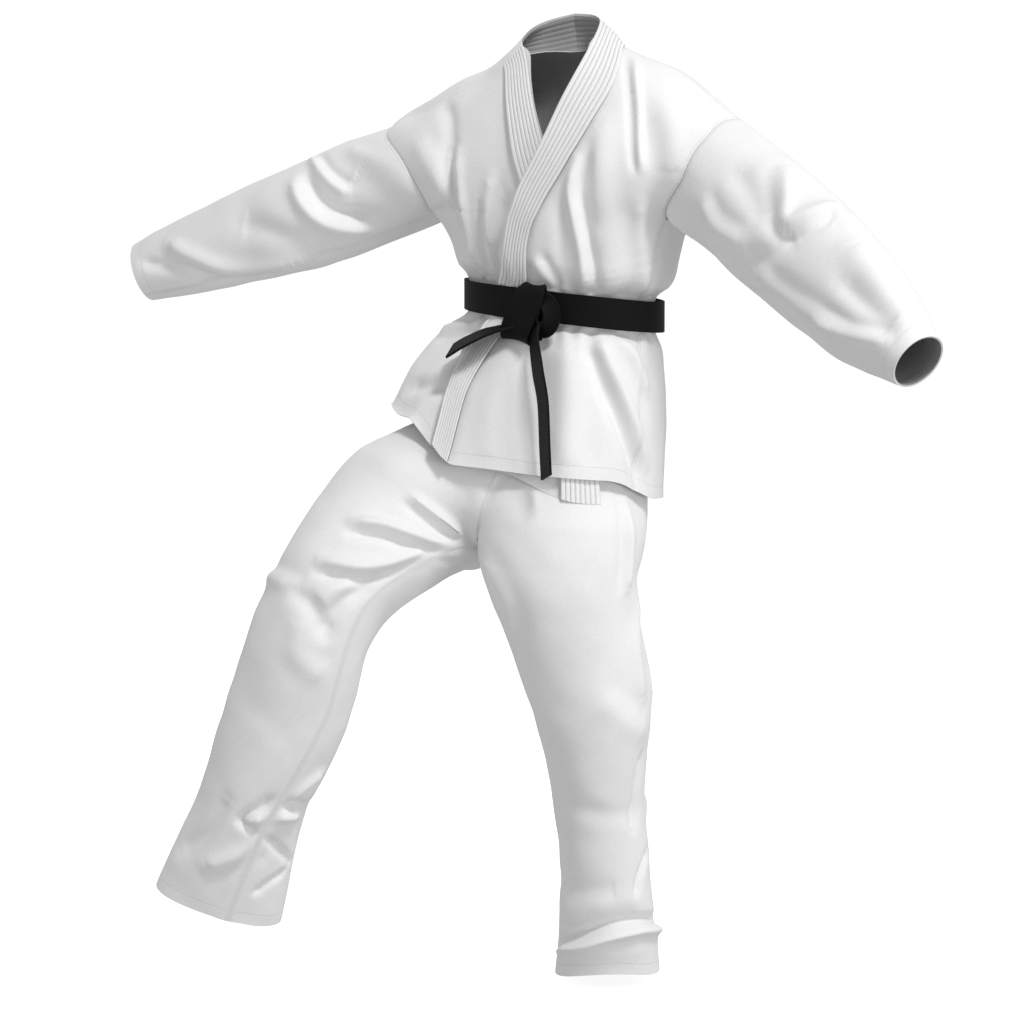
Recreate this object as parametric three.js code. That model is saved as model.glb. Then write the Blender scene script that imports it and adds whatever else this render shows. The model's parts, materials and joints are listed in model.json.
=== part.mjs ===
// A karate uniform as it stands on its wearer: a wrapped jacket, drawstring trousers and a knotted
// belt.  Millimetres.  +Z is up, the front faces -Y and the wearer's left is +X.  The origin is the
// centre of the neck opening, at the height where the collar is sewn to the shoulders.
import * as THREE from 'three'
import { mergeVertices } from 'three/addons/utils/BufferGeometryUtils.js'

// ---- driving dimensions --------------------------------------------------------------------
const cloth = 3.0                // thickness of a jacket or trouser wall
const lapelThick = 4.6           // the stitched lapel band, several layers
const beltThick = 2.6            // one turn of the belt
const fit = 0.4                  // clearance between pieces that touch
const layer = 1.8                // looseness between one layer of cloth and the next
const joinGap = 0.8              // gap between one length of a limb and the next
const beltWidth = 45
const beltHeight = -380          // middle of the belt at the centre line
const beltTilt = -0.115          // rise per mm towards +X
const waistWide = 147            // half width of the jacket under the belt
const waistDeep = 102            // half depth of the jacket under the belt
const chestWide = 203            // half width of the jacket at the armpits
const chestDeep = 130
const armpitHeight = -250
const shoulderWide = 288         // centre line to the top of the armhole
const shoulderHeight = -118      // height of the top of the armhole
const neckWide = 74              // half width of the neck opening
const neckDeep = 75
const collarRise = 50            // height of the standing collar at the nape
const hemHeight = -612           // hem of the jacket at the centre line
const hemTilt = -0.20
const sidePanel = 15             // degrees from the side to each seam of the side panel
const neckSeamStep = 0.02        // fineness of the search for the neck seam
const trouserInset = 20          // trousers' waist inside the jacket's surface
const waistbandTall = 40
const cuffHem = 26               // turned hem at each wrist
const legHem = 30                // turned hem at each ankle
const kneeZone = 120             // soft length of each knee, elbow and hip; the raised thigh's is longer
const elbowZone = 110
const hipZone = { left: 130, right: 168 }
const hipStart = 46              // the legs are sewn to the seat this far down each hip
const armholeZone = 90
const longTail = 205             // free length of the belt's long end
const shortTail = 108
const knotTall = 80              // the knot, seen from the front
const knotWide = 82
const knotDeep = 30

const V = (x, y, z) => new THREE.Vector3(x, y, z)
const lerp = THREE.MathUtils.lerp
const rad = THREE.MathUtils.degToRad
const clamp = THREE.MathUtils.clamp
const smooth = (x, a, b) => THREE.MathUtils.smoothstep(x, a, b)

// ---- materials -----------------------------------------------------------------------------
const cotton = () => new THREE.MeshStandardMaterial({ color: 0xf2f2f0, roughness: 0.9, metalness: 0 })
const liningCotton = () => new THREE.MeshStandardMaterial({ color: 0xe6e6e4, roughness: 0.92, metalness: 0 })
const beltCotton = () => new THREE.MeshStandardMaterial({ color: 0x1a1a1b, roughness: 0.75, metalness: 0 })

const uniform = new THREE.Group()

function add (name, geometry, material) {
  const mesh = new THREE.Mesh(geometry, material)
  mesh.name = name
  uniform.add(mesh)
  return mesh
}

// ---- sheets with thickness -------------------------------------------------------------------
// A grid of points is one face of the cloth; the other face lies `thick` behind it, along the
// grid's own normals, and the edges are walled.  `ring` closes the grid on itself along its rows.
function gridNormals (grid, ring) {
  const rows = grid.length
  const cols = grid[0].length
  return grid.map((row, i) => row.map((point, j) => {
    const down = grid[Math.max(i - 1, 0)][j]
    const up = grid[Math.min(i + 1, rows - 1)][j]
    const left = ring ? row[(j - 1 + cols) % cols] : row[Math.max(j - 1, 0)]
    const right = ring ? row[(j + 1) % cols] : row[Math.min(j + 1, cols - 1)]
    const across = right.clone().sub(left)
    const along = up.clone().sub(down)
    return across.cross(along).normalize()
  }))
}

function offsetGrid (grid, distance, ring = false) {
  const normals = gridNormals(grid, ring)
  return grid.map((row, i) => row.map((p, j) => p.clone().addScaledVector(normals[i][j], distance)))
}

function sheet (grid, thick, ring = false, keep = p => p) {
  const back = offsetGrid(grid, -thick, ring).map(row => row.map(keep))
  const rows = grid.length
  const cols = grid[0].length
  const points = [...grid.flat(), ...back.flat()]
  const half = rows * cols
  const index = []
  const quad = (a, b, c, d) => index.push(a, b, c, a, c, d)
  const at = (i, j) => i * cols + (j % cols)
  const spans = ring ? cols : cols - 1
  for (let i = 0; i < rows - 1; i++) {
    for (let j = 0; j < spans; j++) {
      quad(at(i, j), at(i, j + 1), at(i + 1, j + 1), at(i + 1, j))
      quad(half + at(i, j), half + at(i + 1, j), half + at(i + 1, j + 1), half + at(i, j + 1))
    }
  }
  for (let j = 0; j < spans; j++) {
    quad(at(0, j), half + at(0, j), half + at(0, j + 1), at(0, j + 1))
    const top = rows - 1
    quad(at(top, j), at(top, j + 1), half + at(top, j + 1), half + at(top, j))
  }
  if (!ring) {
    const last = cols - 1
    for (let i = 0; i < rows - 1; i++) {
      quad(at(i, 0), at(i + 1, 0), half + at(i + 1, 0), half + at(i, 0))
      quad(at(i, last), half + at(i, last), half + at(i + 1, last), at(i + 1, last))
    }
  }
  return solidFrom(points, index)
}

function solidFrom (points, index) {
  let volume = 0
  for (let k = 0; k < index.length; k += 3) {
    const [a, b, c] = [points[index[k]], points[index[k + 1]], points[index[k + 2]]]
    volume += a.dot(b.clone().cross(c))
  }
  if (volume < 0) {
    for (let k = 0; k < index.length; k += 3) {
      [index[k + 1], index[k + 2]] = [index[k + 2], index[k + 1]]
    }
  }
  const geometry = new THREE.BufferGeometry()
  geometry.setAttribute('position', new THREE.Float32BufferAttribute(points.flatMap(p => p.toArray()), 3))
  geometry.setIndex(index)
  return mergeVertices(geometry, 1e-4)
}

const steps = (a, b, n) => Array.from({ length: n + 1 }, (_, i) => lerp(a, b, i / n))

// ---- the jacket's surface ----------------------------------------------------------------------
// The jacket is a stack of level loops, from the hem (0) to the shoulder line (10).  Each loop is a
// rounded oval with its own half widths right and left, half depths front and back, and height.
// z: height at the centre, side: height at the sides, tilt: rise towards +X, square: corner power,
// raised: how far the right front stands forward over the raised thigh.
const level = (z, side, right, left, front, back, tilt, square, raised = 0) =>
  ({ z, side, right, left, front, back, tilt, square, raised })
const halfBelt = beltWidth / 2 + 1
const skirtLow = lerp(hemHeight, beltHeight - halfBelt, 0.44)
const skirtHigh = lerp(hemHeight, beltHeight - halfBelt, 0.825)
const levels = [
  level(hemHeight, hemHeight, waistWide + 93, waistWide + 27, waistDeep + 68, waistDeep + 16, hemTilt, 0.84, 34),
  level(skirtLow, skirtLow, waistWide + 69, waistWide + 21, waistDeep + 45, waistDeep + 16, -0.16, 0.86, 20),
  level(skirtHigh, skirtHigh, waistWide + 25, waistWide + 13, waistDeep + 20, waistDeep + 10, -0.13, 0.9),
  level(beltHeight - halfBelt, beltHeight - halfBelt, waistWide, waistWide, waistDeep, waistDeep - 5, beltTilt, 0.95),
  level(beltHeight + halfBelt, beltHeight + halfBelt, waistWide, waistWide, waistDeep, waistDeep - 5, beltTilt, 0.95),
  level(-315, -315, waistWide + 11, waistWide + 31, waistDeep + 19, waistDeep + 10, -0.09, 0.9),
  level(armpitHeight, armpitHeight, chestWide, chestWide, chestDeep, 120, -0.045, 0.82),
  level(-150, -203, shoulderWide - 3, shoulderWide - 3, chestDeep - 3, 118, -0.02, 0.72),
  level(-55, -165, shoulderWide + 28, shoulderWide + 28, 102, 106, -0.01, 0.7),
  level(3, -136, shoulderWide + 12, shoulderWide + 12, 62, neckDeep, 0, 0.8),
  level(38, shoulderHeight, shoulderWide, shoulderWide, 1.4, 1.4, 0, 1)
]
const armpit = 6
const shoulder = levels.length - 1

function levelAt (v) {
  const i = clamp(Math.floor(v), 0, shoulder - 1)
  const t = v - i
  const result = {}
  for (const key of Object.keys(levels[0])) {
    result[key] = lerp(levels[i][key], levels[i + 1][key], t)
  }
  return result
}

// side +1 is the front and -1 the back; angle runs from -90 (wearer's right) to +90 (left)
function jacketPoint (v, angle, side) {
  const ring = levelAt(v)
  const wide = angle < 0 ? ring.right : ring.left
  const x = Math.sign(angle) * wide * Math.pow(Math.abs(Math.sin(rad(angle))), ring.square)
  const y = Math.pow(Math.max(Math.cos(rad(angle)), 0), ring.square)
  const z = lerp(ring.z, ring.side, Math.pow(Math.abs(x) / wide, 1.2)) + ring.tilt * x
  const front = ring.front + ring.raised * smooth(-x / wide, -0.1, 0.6)
  return V(x, side > 0 ? -y * front : y * ring.back, z)
}

function angleAtX (v, x) {
  const ring = levelAt(v)
  const wide = x < 0 ? ring.right : ring.left
  const share = clamp(Math.abs(x) / wide, 0, 1)
  return Math.sign(x) * THREE.MathUtils.radToDeg(Math.asin(Math.pow(share, 1 / ring.square)))
}

// the edge of a front or back panel: the side seam below the armpit, the armhole above it
function sideEdge (v) {
  const t = clamp((v - armpit) / (shoulder - armpit), 0, 1)
  return 90 - sidePanel + sidePanel * t - 38 * Math.sin(Math.PI * t)
}

// x of the front edge of each front panel at each level
const leftFrontEdge = [-130, -118, -92, -68, -40, -33, -24, 36, 60, 73, 76]
const rightFrontEdge = [129, 120, 108, 102, 98, 92, 78, 36, -5, -60, -76]
const lapelWide = [44, 44, 44, 44, 43, 43, 46, 60, 58, 50, 50]
const along = (table, v) => {
  const i = clamp(Math.floor(v), 0, table.length - 2)
  return lerp(table[i], table[i + 1], v - i)
}

// ---- jacket panels -----------------------------------------------------------------------------
const seam = 0.25                // degrees left open between neighbouring panels
const panelLevels = [0, 1, 2, 3, 4, 5, 5.5, 6, 6.5, 7, 7.5, 8, 8.5, 9, 9.4, 9.7, 10]
const under = cloth + lapelThick + 2 * layer      // how far the wrapped-under panel lies inside

function jacketPanel (side, from, to, sunk = () => 0, count = 8, rows = panelLevels) {
  const grid = rows.map(v => steps(0, 1, count).map(s => jacketPoint(v, lerp(from(v), to(v), s), side)))
  const outward = side > 0 ? grid : grid.map(row => row.slice().reverse())
  const normals = gridNormals(outward, false)
  const inFront = p => V(p.x, side > 0 ? Math.min(p.y, -fit) : Math.max(p.y, fit), p.z)
  const face = outward.map((row, i) => row.map((p, j) => {
    const angle = angleAtX(rows[i], p.x)
    return inFront(p.clone().addScaledVector(normals[i][j], -sunk(angle, rows[i])))
  }))
  return sheet(face, cloth, false, inFront)
}

const underRight = (angle, v) => under * smooth(angle + sideEdge(v), 3, 29)

add('jacket_front_left', jacketPanel(1,
  v => angleAtX(v, along(leftFrontEdge, v)), v => sideEdge(v) - seam), cotton())
add('jacket_front_right', jacketPanel(1,
  v => -sideEdge(v) + seam, v => angleAtX(v, along(rightFrontEdge, v)), underRight), cotton())

// the back is two halves sewn down the middle, cut away at the top for the neck
function neckLevel (angle) {
  for (let v = 8.5; v < shoulder; v += neckSeamStep) {
    const p = jacketPoint(v, angle, -1)
    if (Math.hypot(p.x / neckWide, p.y / neckDeep) < 1) {
      return v
    }
  }
  return shoulder
}

function backPanel (sign) {
  const rows = panelLevels.map(v => v / shoulder)
  const grid = rows.map(share => steps(0, 1, 10).map(s => {
    let v = share * shoulder
    for (let pass = 0; pass < 3; pass++) {
      const angle = lerp(seam, sideEdge(v) - seam, s)
      v = share * neckLevel(angle)
    }
    return jacketPoint(v, sign * lerp(seam, sideEdge(v) - seam, s), -1)
  }))
  const face = sign > 0 ? grid.map(row => row.slice().reverse()) : grid
  return sheet(face, cloth, false, p => V(p.x, Math.max(p.y, fit), p.z))
}
add('jacket_back_left', backPanel(1), cotton())
add('jacket_back_right', backPanel(-1), cotton())

// a narrow panel under each arm, open in a vent from the belt to the hem
const sideLevels = panelLevels.filter(v => v <= armpit)
function sidePanelSheet (sign) {
  const reach = sidePanel - 2 * seam
  const grid = sideLevels.map(v => steps(-1, 1, 6).map(s => {
    const angle = 90 - reach * Math.abs(s)
    return jacketPoint(v, sign * angle, s * sign <= 0 ? 1 : -1)
  }))
  return sheet(grid, cloth)
}
add('side_panel_left', sidePanelSheet(1), cotton())
add('side_panel_right', sidePanelSheet(-1), cotton())

// ---- lapel band --------------------------------------------------------------------------------
// The band runs up each front edge and stands around the back of the neck, where the two halves are
// joined.  Its stations are pairs of points: the free edge and the sewn edge.
function lapel (sign, edge, lift) {
  const rows = [0, 1, 2, 3, 4, 5, 5.5, 6, 6.5, 7, 7.5, 8, 8.5, 8.9]
  const pairs = rows.map(v => {
    const inner = along(edge, v)
    const outer = inner + sign * along(lapelWide, v)
    return [0, 0.5, 1].map(s => jacketPoint(v, angleAtX(v, lerp(inner, outer, s)), 1))
  })
  const front = offsetGrid(sign > 0 ? pairs : pairs.map(r => r.slice().reverse()), lift + lapelThick)
  const flat = sign > 0 ? front : front.map(r => r.slice().reverse())
  const neck = steps(70, 179, 9).map(angle => {
    const back = smooth(angle, 70, 180)
    const x = sign * Math.sin(rad(angle))
    const y = -Math.cos(rad(angle))
    const free = V(x * (neckWide - 1), y * (neckDeep + 3), lerp(30, collarRise + 6, back))
    const sewn = V(x * (neckWide + lerp(34, 4, back)), y * (neckDeep + 5) - lerp(12, 0, back), lerp(2, 8, back))
    return [free, free.clone().lerp(sewn, 0.5), sewn]
  })
  const grid = [...flat, ...neck]
  return sheet(sign > 0 ? grid : grid.map(r => r.slice().reverse()), lapelThick)
}
add('lapel_left', lapel(1, leftFrontEdge, layer), cotton())
add('lapel_right', lapel(-1, rightFrontEdge, -(under - layer)), cotton())

// ---- limbs -------------------------------------------------------------------------------------
// A limb is a smooth centre line with an oval section at each station.  wide is measured along
// `across`, deep at right angles to it.
const station = (x, y, z, wide, deep) => ({ p: V(x, y, z), wide, deep })

class Limb {
  constructor (stations, across) {
    this.stations = stations
    this.curve = new THREE.CatmullRomCurve3(stations.map(s => s.p), false, 'centripetal')
    this.across = across
    this.length = this.curve.getLength()
  }

  section (distance, inset = 0, sides = 22) {
    const share = clamp(distance / this.length, 0, 1)
    const t = this.curve.getUtoTmapping(share)
    const centre = this.curve.getPoint(t)
    const tangent = this.curve.getTangent(t)
    const wideDir = this.across.clone().addScaledVector(tangent, -this.across.dot(tangent)).normalize()
    const deepDir = tangent.clone().cross(wideDir).normalize()
    const f = t * (this.stations.length - 1)
    const i = clamp(Math.floor(f), 0, this.stations.length - 2)
    const wide = lerp(this.stations[i].wide, this.stations[i + 1].wide, f - i) - inset
    const deep = lerp(this.stations[i].deep, this.stations[i + 1].deep, f - i) - inset
    return Array.from({ length: sides }, (_, k) => {
      const angle = 2 * Math.PI * k / sides
      return centre.clone()
        .addScaledVector(wideDir, wide * Math.cos(angle))
        .addScaledVector(deepDir, deep * Math.sin(angle))
    })
  }

  tube (from, to, count, outset = 0, thick = cloth) {
    const grid = steps(from + joinGap / 2, to - joinGap / 2, count).map(d => this.section(d, -outset))
    return sheet(grid, thick, true)
  }
}

// a sleeve's stations are placed by how far each lies beyond the shoulder
const sleeveStation = (beyond, y, z, wide, deep, sign = 1) =>
  station(sign * (shoulderWide + beyond), y, z, wide, deep)
const upright = V(0, 0, 1)
const sleeves = {
  left: new Limb([
    sleeveStation(-32, -2, -196, 80, 78), sleeveStation(30, -22, -240, 82, 78),
    sleeveStation(107, -50, -292, 77, 74), sleeveStation(182, -80, -344, 70, 68),
    sleeveStation(264, -117, -404, 60, 58), sleeveStation(339, -150, -458, 42, 41)
  ], upright),
  right: new Limb([
    sleeveStation(-24, -2, -184, 80, 78, -1), sleeveStation(42, -26, -211, 80, 78, -1),
    sleeveStation(121, -58, -244, 74, 72, -1), sleeveStation(212, -74, -270, 63, 60, -1),
    sleeveStation(307, -90, -299, 54, 50, -1), sleeveStation(402, -105, -328, 48, 43, -1)
  ], upright)
}
const elbowAt = { left: 0.37, right: 0.36 }

for (const [side, limb] of Object.entries(sleeves)) {
  const elbow = elbowAt[side] * limb.length
  const marks = [0, armholeZone, elbow - elbowZone / 2, elbow + elbowZone / 2, limb.length - cuffHem, limb.length]
  add(`sleeve_head_${side}`, limb.tube(marks[0], marks[1], 3), cotton())
  add(`upper_sleeve_${side}`, limb.tube(marks[1], Math.max(marks[2], marks[1] + 12), 1), cotton())
  add(`elbow_${side}`, limb.tube(Math.max(marks[2], marks[1] + 12), marks[3], 4), cotton())
  add(`lower_sleeve_${side}`, limb.tube(marks[3], marks[4], 4), cotton())
  add(`cuff_hem_${side}`, limb.tube(marks[4], marks[5], 1, 0.8, cloth + 1.6), cotton())
}

// ---- trousers ----------------------------------------------------------------------------------
const viewAcross = V(0.87, 0.5, 0)
const legs = {
  left: new Limb([
    station(82, -8, -600, 80, 92), station(60, -48, -700, 95, 101), station(52, -70, -790, 102, 104),
    station(74, -40, -965, 88, 88), station(66, 0, -1130, 67, 76), station(64, 26, -1265, 70, 76),
    station(56, 45, -1384, 79, 72)
  ], viewAcross),
  right: new Limb([
    station(-92, -18, -590, 78, 86), station(-144, -82, -652, 92, 92), station(-200, -150, -702, 98, 96),
    station(-265, -250, -831, 86, 86), station(-330, -256, -980, 82, 82), station(-392, -253, -1130, 82, 76),
    station(-450, -250, -1280, 98, 62)
  ], viewAcross)
}
const kneeAt = { left: 0.47, right: 0.43 }

for (const [side, limb] of Object.entries(legs)) {
  const knee = kneeAt[side] * limb.length
  const marks = [hipZone[side], knee - kneeZone / 2, knee + kneeZone / 2, limb.length - legHem, limb.length]
  add(`trouser_hip_${side}`, limb.tube(hipStart, marks[0], 4), cotton())
  add(`thigh_${side}`, limb.tube(marks[0], marks[1], 4), cotton())
  add(`knee_${side}`, limb.tube(marks[1], marks[2], 4), cotton())
  add(`shin_${side}`, limb.tube(marks[2], marks[3], 6), cotton())
  add(`trouser_hem_${side}`, limb.tube(marks[3], marks[4], 2, 0.8, cloth + 1.6), cotton())
}

// the seat of the trousers, front and back, from the waistband to the tops of the legs
const seatLoops = [
  { z: -572, right: waistWide + 29, left: waistWide + 11, front: waistDeep + 18, back: waistDeep + 2 },
  { z: -520, right: waistWide + 13, left: waistWide + 3, front: waistDeep + 10, back: waistDeep - 2 },
  { z: -460, right: waistWide - 5, left: waistWide - 9, front: waistDeep - 4, back: waistDeep - 10 },
  { z: beltHeight - waistbandTall / 2 - 12, right: waistWide - trouserInset, left: waistWide - trouserInset,
    front: waistDeep - trouserInset, back: waistDeep - trouserInset - 4 }
]
function seatPoint (loop, angle, side) {
  const wide = angle < 0 ? loop.right : loop.left
  const x = wide * Math.sin(rad(angle))
  const deep = side > 0 ? -loop.front : loop.back
  return V(x, deep * Math.cos(rad(angle)), loop.z + beltTilt * x)
}
function seatPanel (side) {
  const grid = seatLoops.map(loop => steps(-88.8, 88.8, 14).map(a => seatPoint(loop, a, side)))
  return sheet(side > 0 ? grid : grid.map(r => r.slice().reverse()), cloth)
}
add('trouser_seat_front', seatPanel(1), cotton())
add('trouser_seat_back', seatPanel(-1), cotton())

function waistRing (low, high, outset, thick, material, name) {
  const loop = { right: waistWide + outset, left: waistWide + outset, front: waistDeep + outset, back: waistDeep - 5 + outset }
  const grid = [low, high].map(z => Array.from({ length: 48 }, (_, k) => {
    const turn = k * 360 / 48
    const side = turn < 90 || turn >= 270 ? 1 : -1
    const angle = side > 0 ? (turn + 90) % 360 - 90 : 180 - turn
    return seatPoint({ ...loop, z }, angle, side)
  }))
  add(name, sheet(grid, thick, true), material)
}
const bandLow = beltHeight - waistbandTall / 2 - 11
waistRing(bandLow, bandLow + waistbandTall, -trouserInset + 0.8, cloth + 1.6, liningCotton(), 'trouser_waistband')

// a diamond gusset let in where the legs meet
function gusset () {
  const grid = [
    [V(-74, -104, -712), V(-66, -102, -715), V(-58, -100, -712)],
    [V(-70, -60, -718), V(-62, -58, -722), V(-54, -56, -718)],
    [V(-64, -12, -704), V(-56, -10, -708), V(-48, -8, -704)]
  ]
  return sheet(grid, cloth)
}
add('crotch_gusset', gusset(), cotton())

// ---- belt --------------------------------------------------------------------------------------
const beltLow = beltHeight - beltWidth / 2
const beltHigh = beltHeight + beltWidth / 2
const beltInside = lapelThick + 2 * layer
waistRing(beltLow, beltHigh, beltInside + beltThick, beltThick, beltCotton(), 'belt_inner_turn')
waistRing(beltLow, beltHigh, beltInside + 2 * beltThick + fit, beltThick, beltCotton(), 'belt_outer_turn')
const beltFace = waistDeep + beltInside + 2 * beltThick + fit

// the knot: a flattened core with the last turn of the belt folded over it
const knotCentre = V(18, -(beltFace + knotDeep / 2 + 0.5), beltHeight - 9)
function knotCore () {
  const geometry = new THREE.SphereGeometry(1, 20, 14)
  geometry.deleteAttribute('normal')
  geometry.deleteAttribute('uv')
  geometry.scale(knotWide / 2, knotDeep / 2 - beltThick - 1, knotTall / 2 - beltThick - 4)
  geometry.translate(knotCentre.x, knotCentre.y, knotCentre.z)
  return mergeVertices(geometry, 1e-3)
}
add('belt_knot_core', knotCore(), beltCotton())

function knotWrap () {
  const outline = Array.from({ length: 28 }, (_, k) => {
    const a = 2 * Math.PI * k / 28
    return [knotTall / 2 * Math.cos(a), knotDeep / 2 * Math.sin(a)]
  })
  const lean = rad(-24)
  const wrapHalf = beltWidth / 2
  const grid = [-wrapHalf, 0, wrapHalf].map(h => outline.map(([a, b]) => {
    const wide = a * (1 - Math.abs(h) * 0.004)
    return V(knotCentre.x + h * Math.cos(lean) - wide * Math.sin(lean), knotCentre.y - b,
      knotCentre.z + h * Math.sin(lean) + wide * Math.cos(lean))
  }))
  return sheet(grid, beltThick * 0.8, true)
}
add('belt_knot_wrap', knotWrap(), beltCotton())

// A free end of the belt: a flat strap along a line of points, with the direction of its width
function strap (points, widths, width) {
  const curve = new THREE.CatmullRomCurve3(points, false, 'centripetal')
  const turn = new THREE.CatmullRomCurve3(widths, false, 'centripetal')
  const grid = steps(0, 1, 14).map(s => {
    const centre = curve.getPointAt(s)
    const tangent = curve.getTangentAt(s)
    const wide = turn.getPoint(s)
    wide.addScaledVector(tangent, -wide.dot(tangent)).normalize()
    return [-0.5, 0, 0.5].map(k => centre.clone().addScaledVector(wide, k * width))
  })
  return sheet(grid, beltThick * 1.3)
}
const tailRoot = V(42, -(beltFace + 40), beltHeight - 46)
add('belt_tail_long', strap(
  [tailRoot, tailRoot.clone().add(V(8, -8, -0.3 * longTail)), tailRoot.clone().add(V(20, -22, -0.65 * longTail)),
    tailRoot.clone().add(V(30, -34, -0.97 * longTail))],
  [V(0.8, -0.5, 0), V(0.62, -0.76, 0), V(0.5, -0.86, 0), V(0.55, -0.83, 0)], beltWidth), beltCotton())
const shortRoot = V(-20, -(beltFace + 33), beltHeight - 30)
add('belt_tail_short', strap(
  [shortRoot, shortRoot.clone().add(V(-0.45 * shortTail, -14, -0.12 * shortTail)),
    shortRoot.clone().add(V(-0.93 * shortTail, -12, -0.34 * shortTail))],
  [V(0.1, -0.45, 0.9), V(0.12, -0.8, 0.55), V(0.1, -0.9, 0.42)], beltWidth), beltCotton())

export default uniform
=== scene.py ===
"""A karate uniform standing as worn: wrapped jacket, trousers and knotted belt, made from numpy surfaces."""
import json

import bpy
import numpy as np
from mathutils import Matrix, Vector


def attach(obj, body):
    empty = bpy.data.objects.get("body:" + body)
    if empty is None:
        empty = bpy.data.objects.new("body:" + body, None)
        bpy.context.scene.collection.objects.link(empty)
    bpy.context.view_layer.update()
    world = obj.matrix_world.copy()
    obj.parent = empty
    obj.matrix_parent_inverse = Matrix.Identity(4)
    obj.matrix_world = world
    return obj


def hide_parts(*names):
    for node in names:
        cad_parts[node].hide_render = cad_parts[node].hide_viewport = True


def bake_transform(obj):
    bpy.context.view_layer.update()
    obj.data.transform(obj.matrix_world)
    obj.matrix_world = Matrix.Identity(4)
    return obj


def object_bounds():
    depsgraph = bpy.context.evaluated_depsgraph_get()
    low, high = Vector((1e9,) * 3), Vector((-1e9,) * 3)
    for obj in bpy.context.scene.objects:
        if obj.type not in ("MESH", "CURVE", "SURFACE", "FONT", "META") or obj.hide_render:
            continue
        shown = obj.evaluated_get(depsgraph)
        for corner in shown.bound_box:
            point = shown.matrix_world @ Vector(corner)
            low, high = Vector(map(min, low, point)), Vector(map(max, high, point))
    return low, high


bl_info = {
    "name": "Karate Uniform",
    "version": (1, 0, 0),
    "blender": (4, 5, 0),
    "location": "3D View > Sidebar > Uniform",
    "description": "Builds a cotton karate uniform, worn, with a wrapped jacket, trousers and a knotted belt",
    "category": "Add Mesh",
}

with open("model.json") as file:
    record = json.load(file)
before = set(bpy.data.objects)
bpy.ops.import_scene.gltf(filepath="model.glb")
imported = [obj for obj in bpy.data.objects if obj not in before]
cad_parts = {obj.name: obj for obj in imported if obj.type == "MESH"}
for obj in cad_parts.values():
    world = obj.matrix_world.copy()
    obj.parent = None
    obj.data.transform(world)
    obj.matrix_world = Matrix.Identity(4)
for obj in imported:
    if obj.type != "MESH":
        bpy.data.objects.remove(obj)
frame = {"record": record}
CAD_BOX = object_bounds()
MM = 0.001
OUT_OF_REACH = 999.0
SIDES = {"left": 1, "right": -1}
ROOT = "jacket_and_seat"


def joint(name):
    """The record's joint of that name."""
    return next(j for j in frame["record"]["behaviour"]["joints"] if j["name"] == name)


# ---------------------------------------------------------------------------- curves and grids

def through(values, t):
    """Catmull-Rom curve through evenly numbered values: cubic in the fraction between two of them, its
    slope at each being half the step from the one before to the one after."""
    values = np.asarray(values, float)
    flat = values.reshape(len(values), -1)
    t = np.clip(np.asarray(t, float), 0, len(values) - 1)
    i = np.clip(np.floor(t).astype(int), 0, len(values) - 2)
    f = (t - i)[..., None]
    last = len(values) - 1
    p0, p1 = flat[np.clip(i - 1, 0, last)], flat[i]
    p2, p3 = flat[i + 1], flat[np.clip(i + 2, 0, last)]
    out = 0.5 * (2 * p1 + (p2 - p0) * f + (2 * p0 - 5 * p1 + 4 * p2 - p3) * f**2
                 + (3 * p1 - p0 - 3 * p2 + p3) * f**3)
    return out.reshape(t.shape + values.shape[1:])


def ease(x, a, b):
    """0 below a, 1 above b, and the smooth cubic 3f^2 - 2f^3 between them."""
    f = np.clip((x - a) / (b - a), 0, 1)
    return f * f * (3 - 2 * f)


def mix(a, b, f):
    """a at share 0 and b at share 1, straight between them."""
    return a + (b - a) * f


def unit(v):
    """Vectors divided by their own lengths."""
    return v / np.maximum(np.linalg.norm(v, axis=-1, keepdims=True), 1e-9)


def normals_of(grid, ring=False):
    """Normal at each grid point: the cross product of the steps along its row and along its column."""
    if ring:
        across = np.roll(grid, -1, 1) - np.roll(grid, 1, 1)
    else:
        across = np.gradient(grid, axis=1)
    along = np.gradient(grid, axis=0)
    return unit(np.cross(across, along))


def arc_lengths(grid, axis):
    """Running length of the grid's lines along one axis, in the grid's own unit."""
    steps = np.linalg.norm(np.diff(grid, axis=axis), axis=-1)
    pad = [(1, 0), (0, 0)] if axis == 0 else [(0, 0), (1, 0)]
    return np.pad(np.cumsum(steps, axis=axis), pad)


# ---------------------------------------------------------------------------- folds in the cloth

FOLD_STEPS = 25


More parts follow.
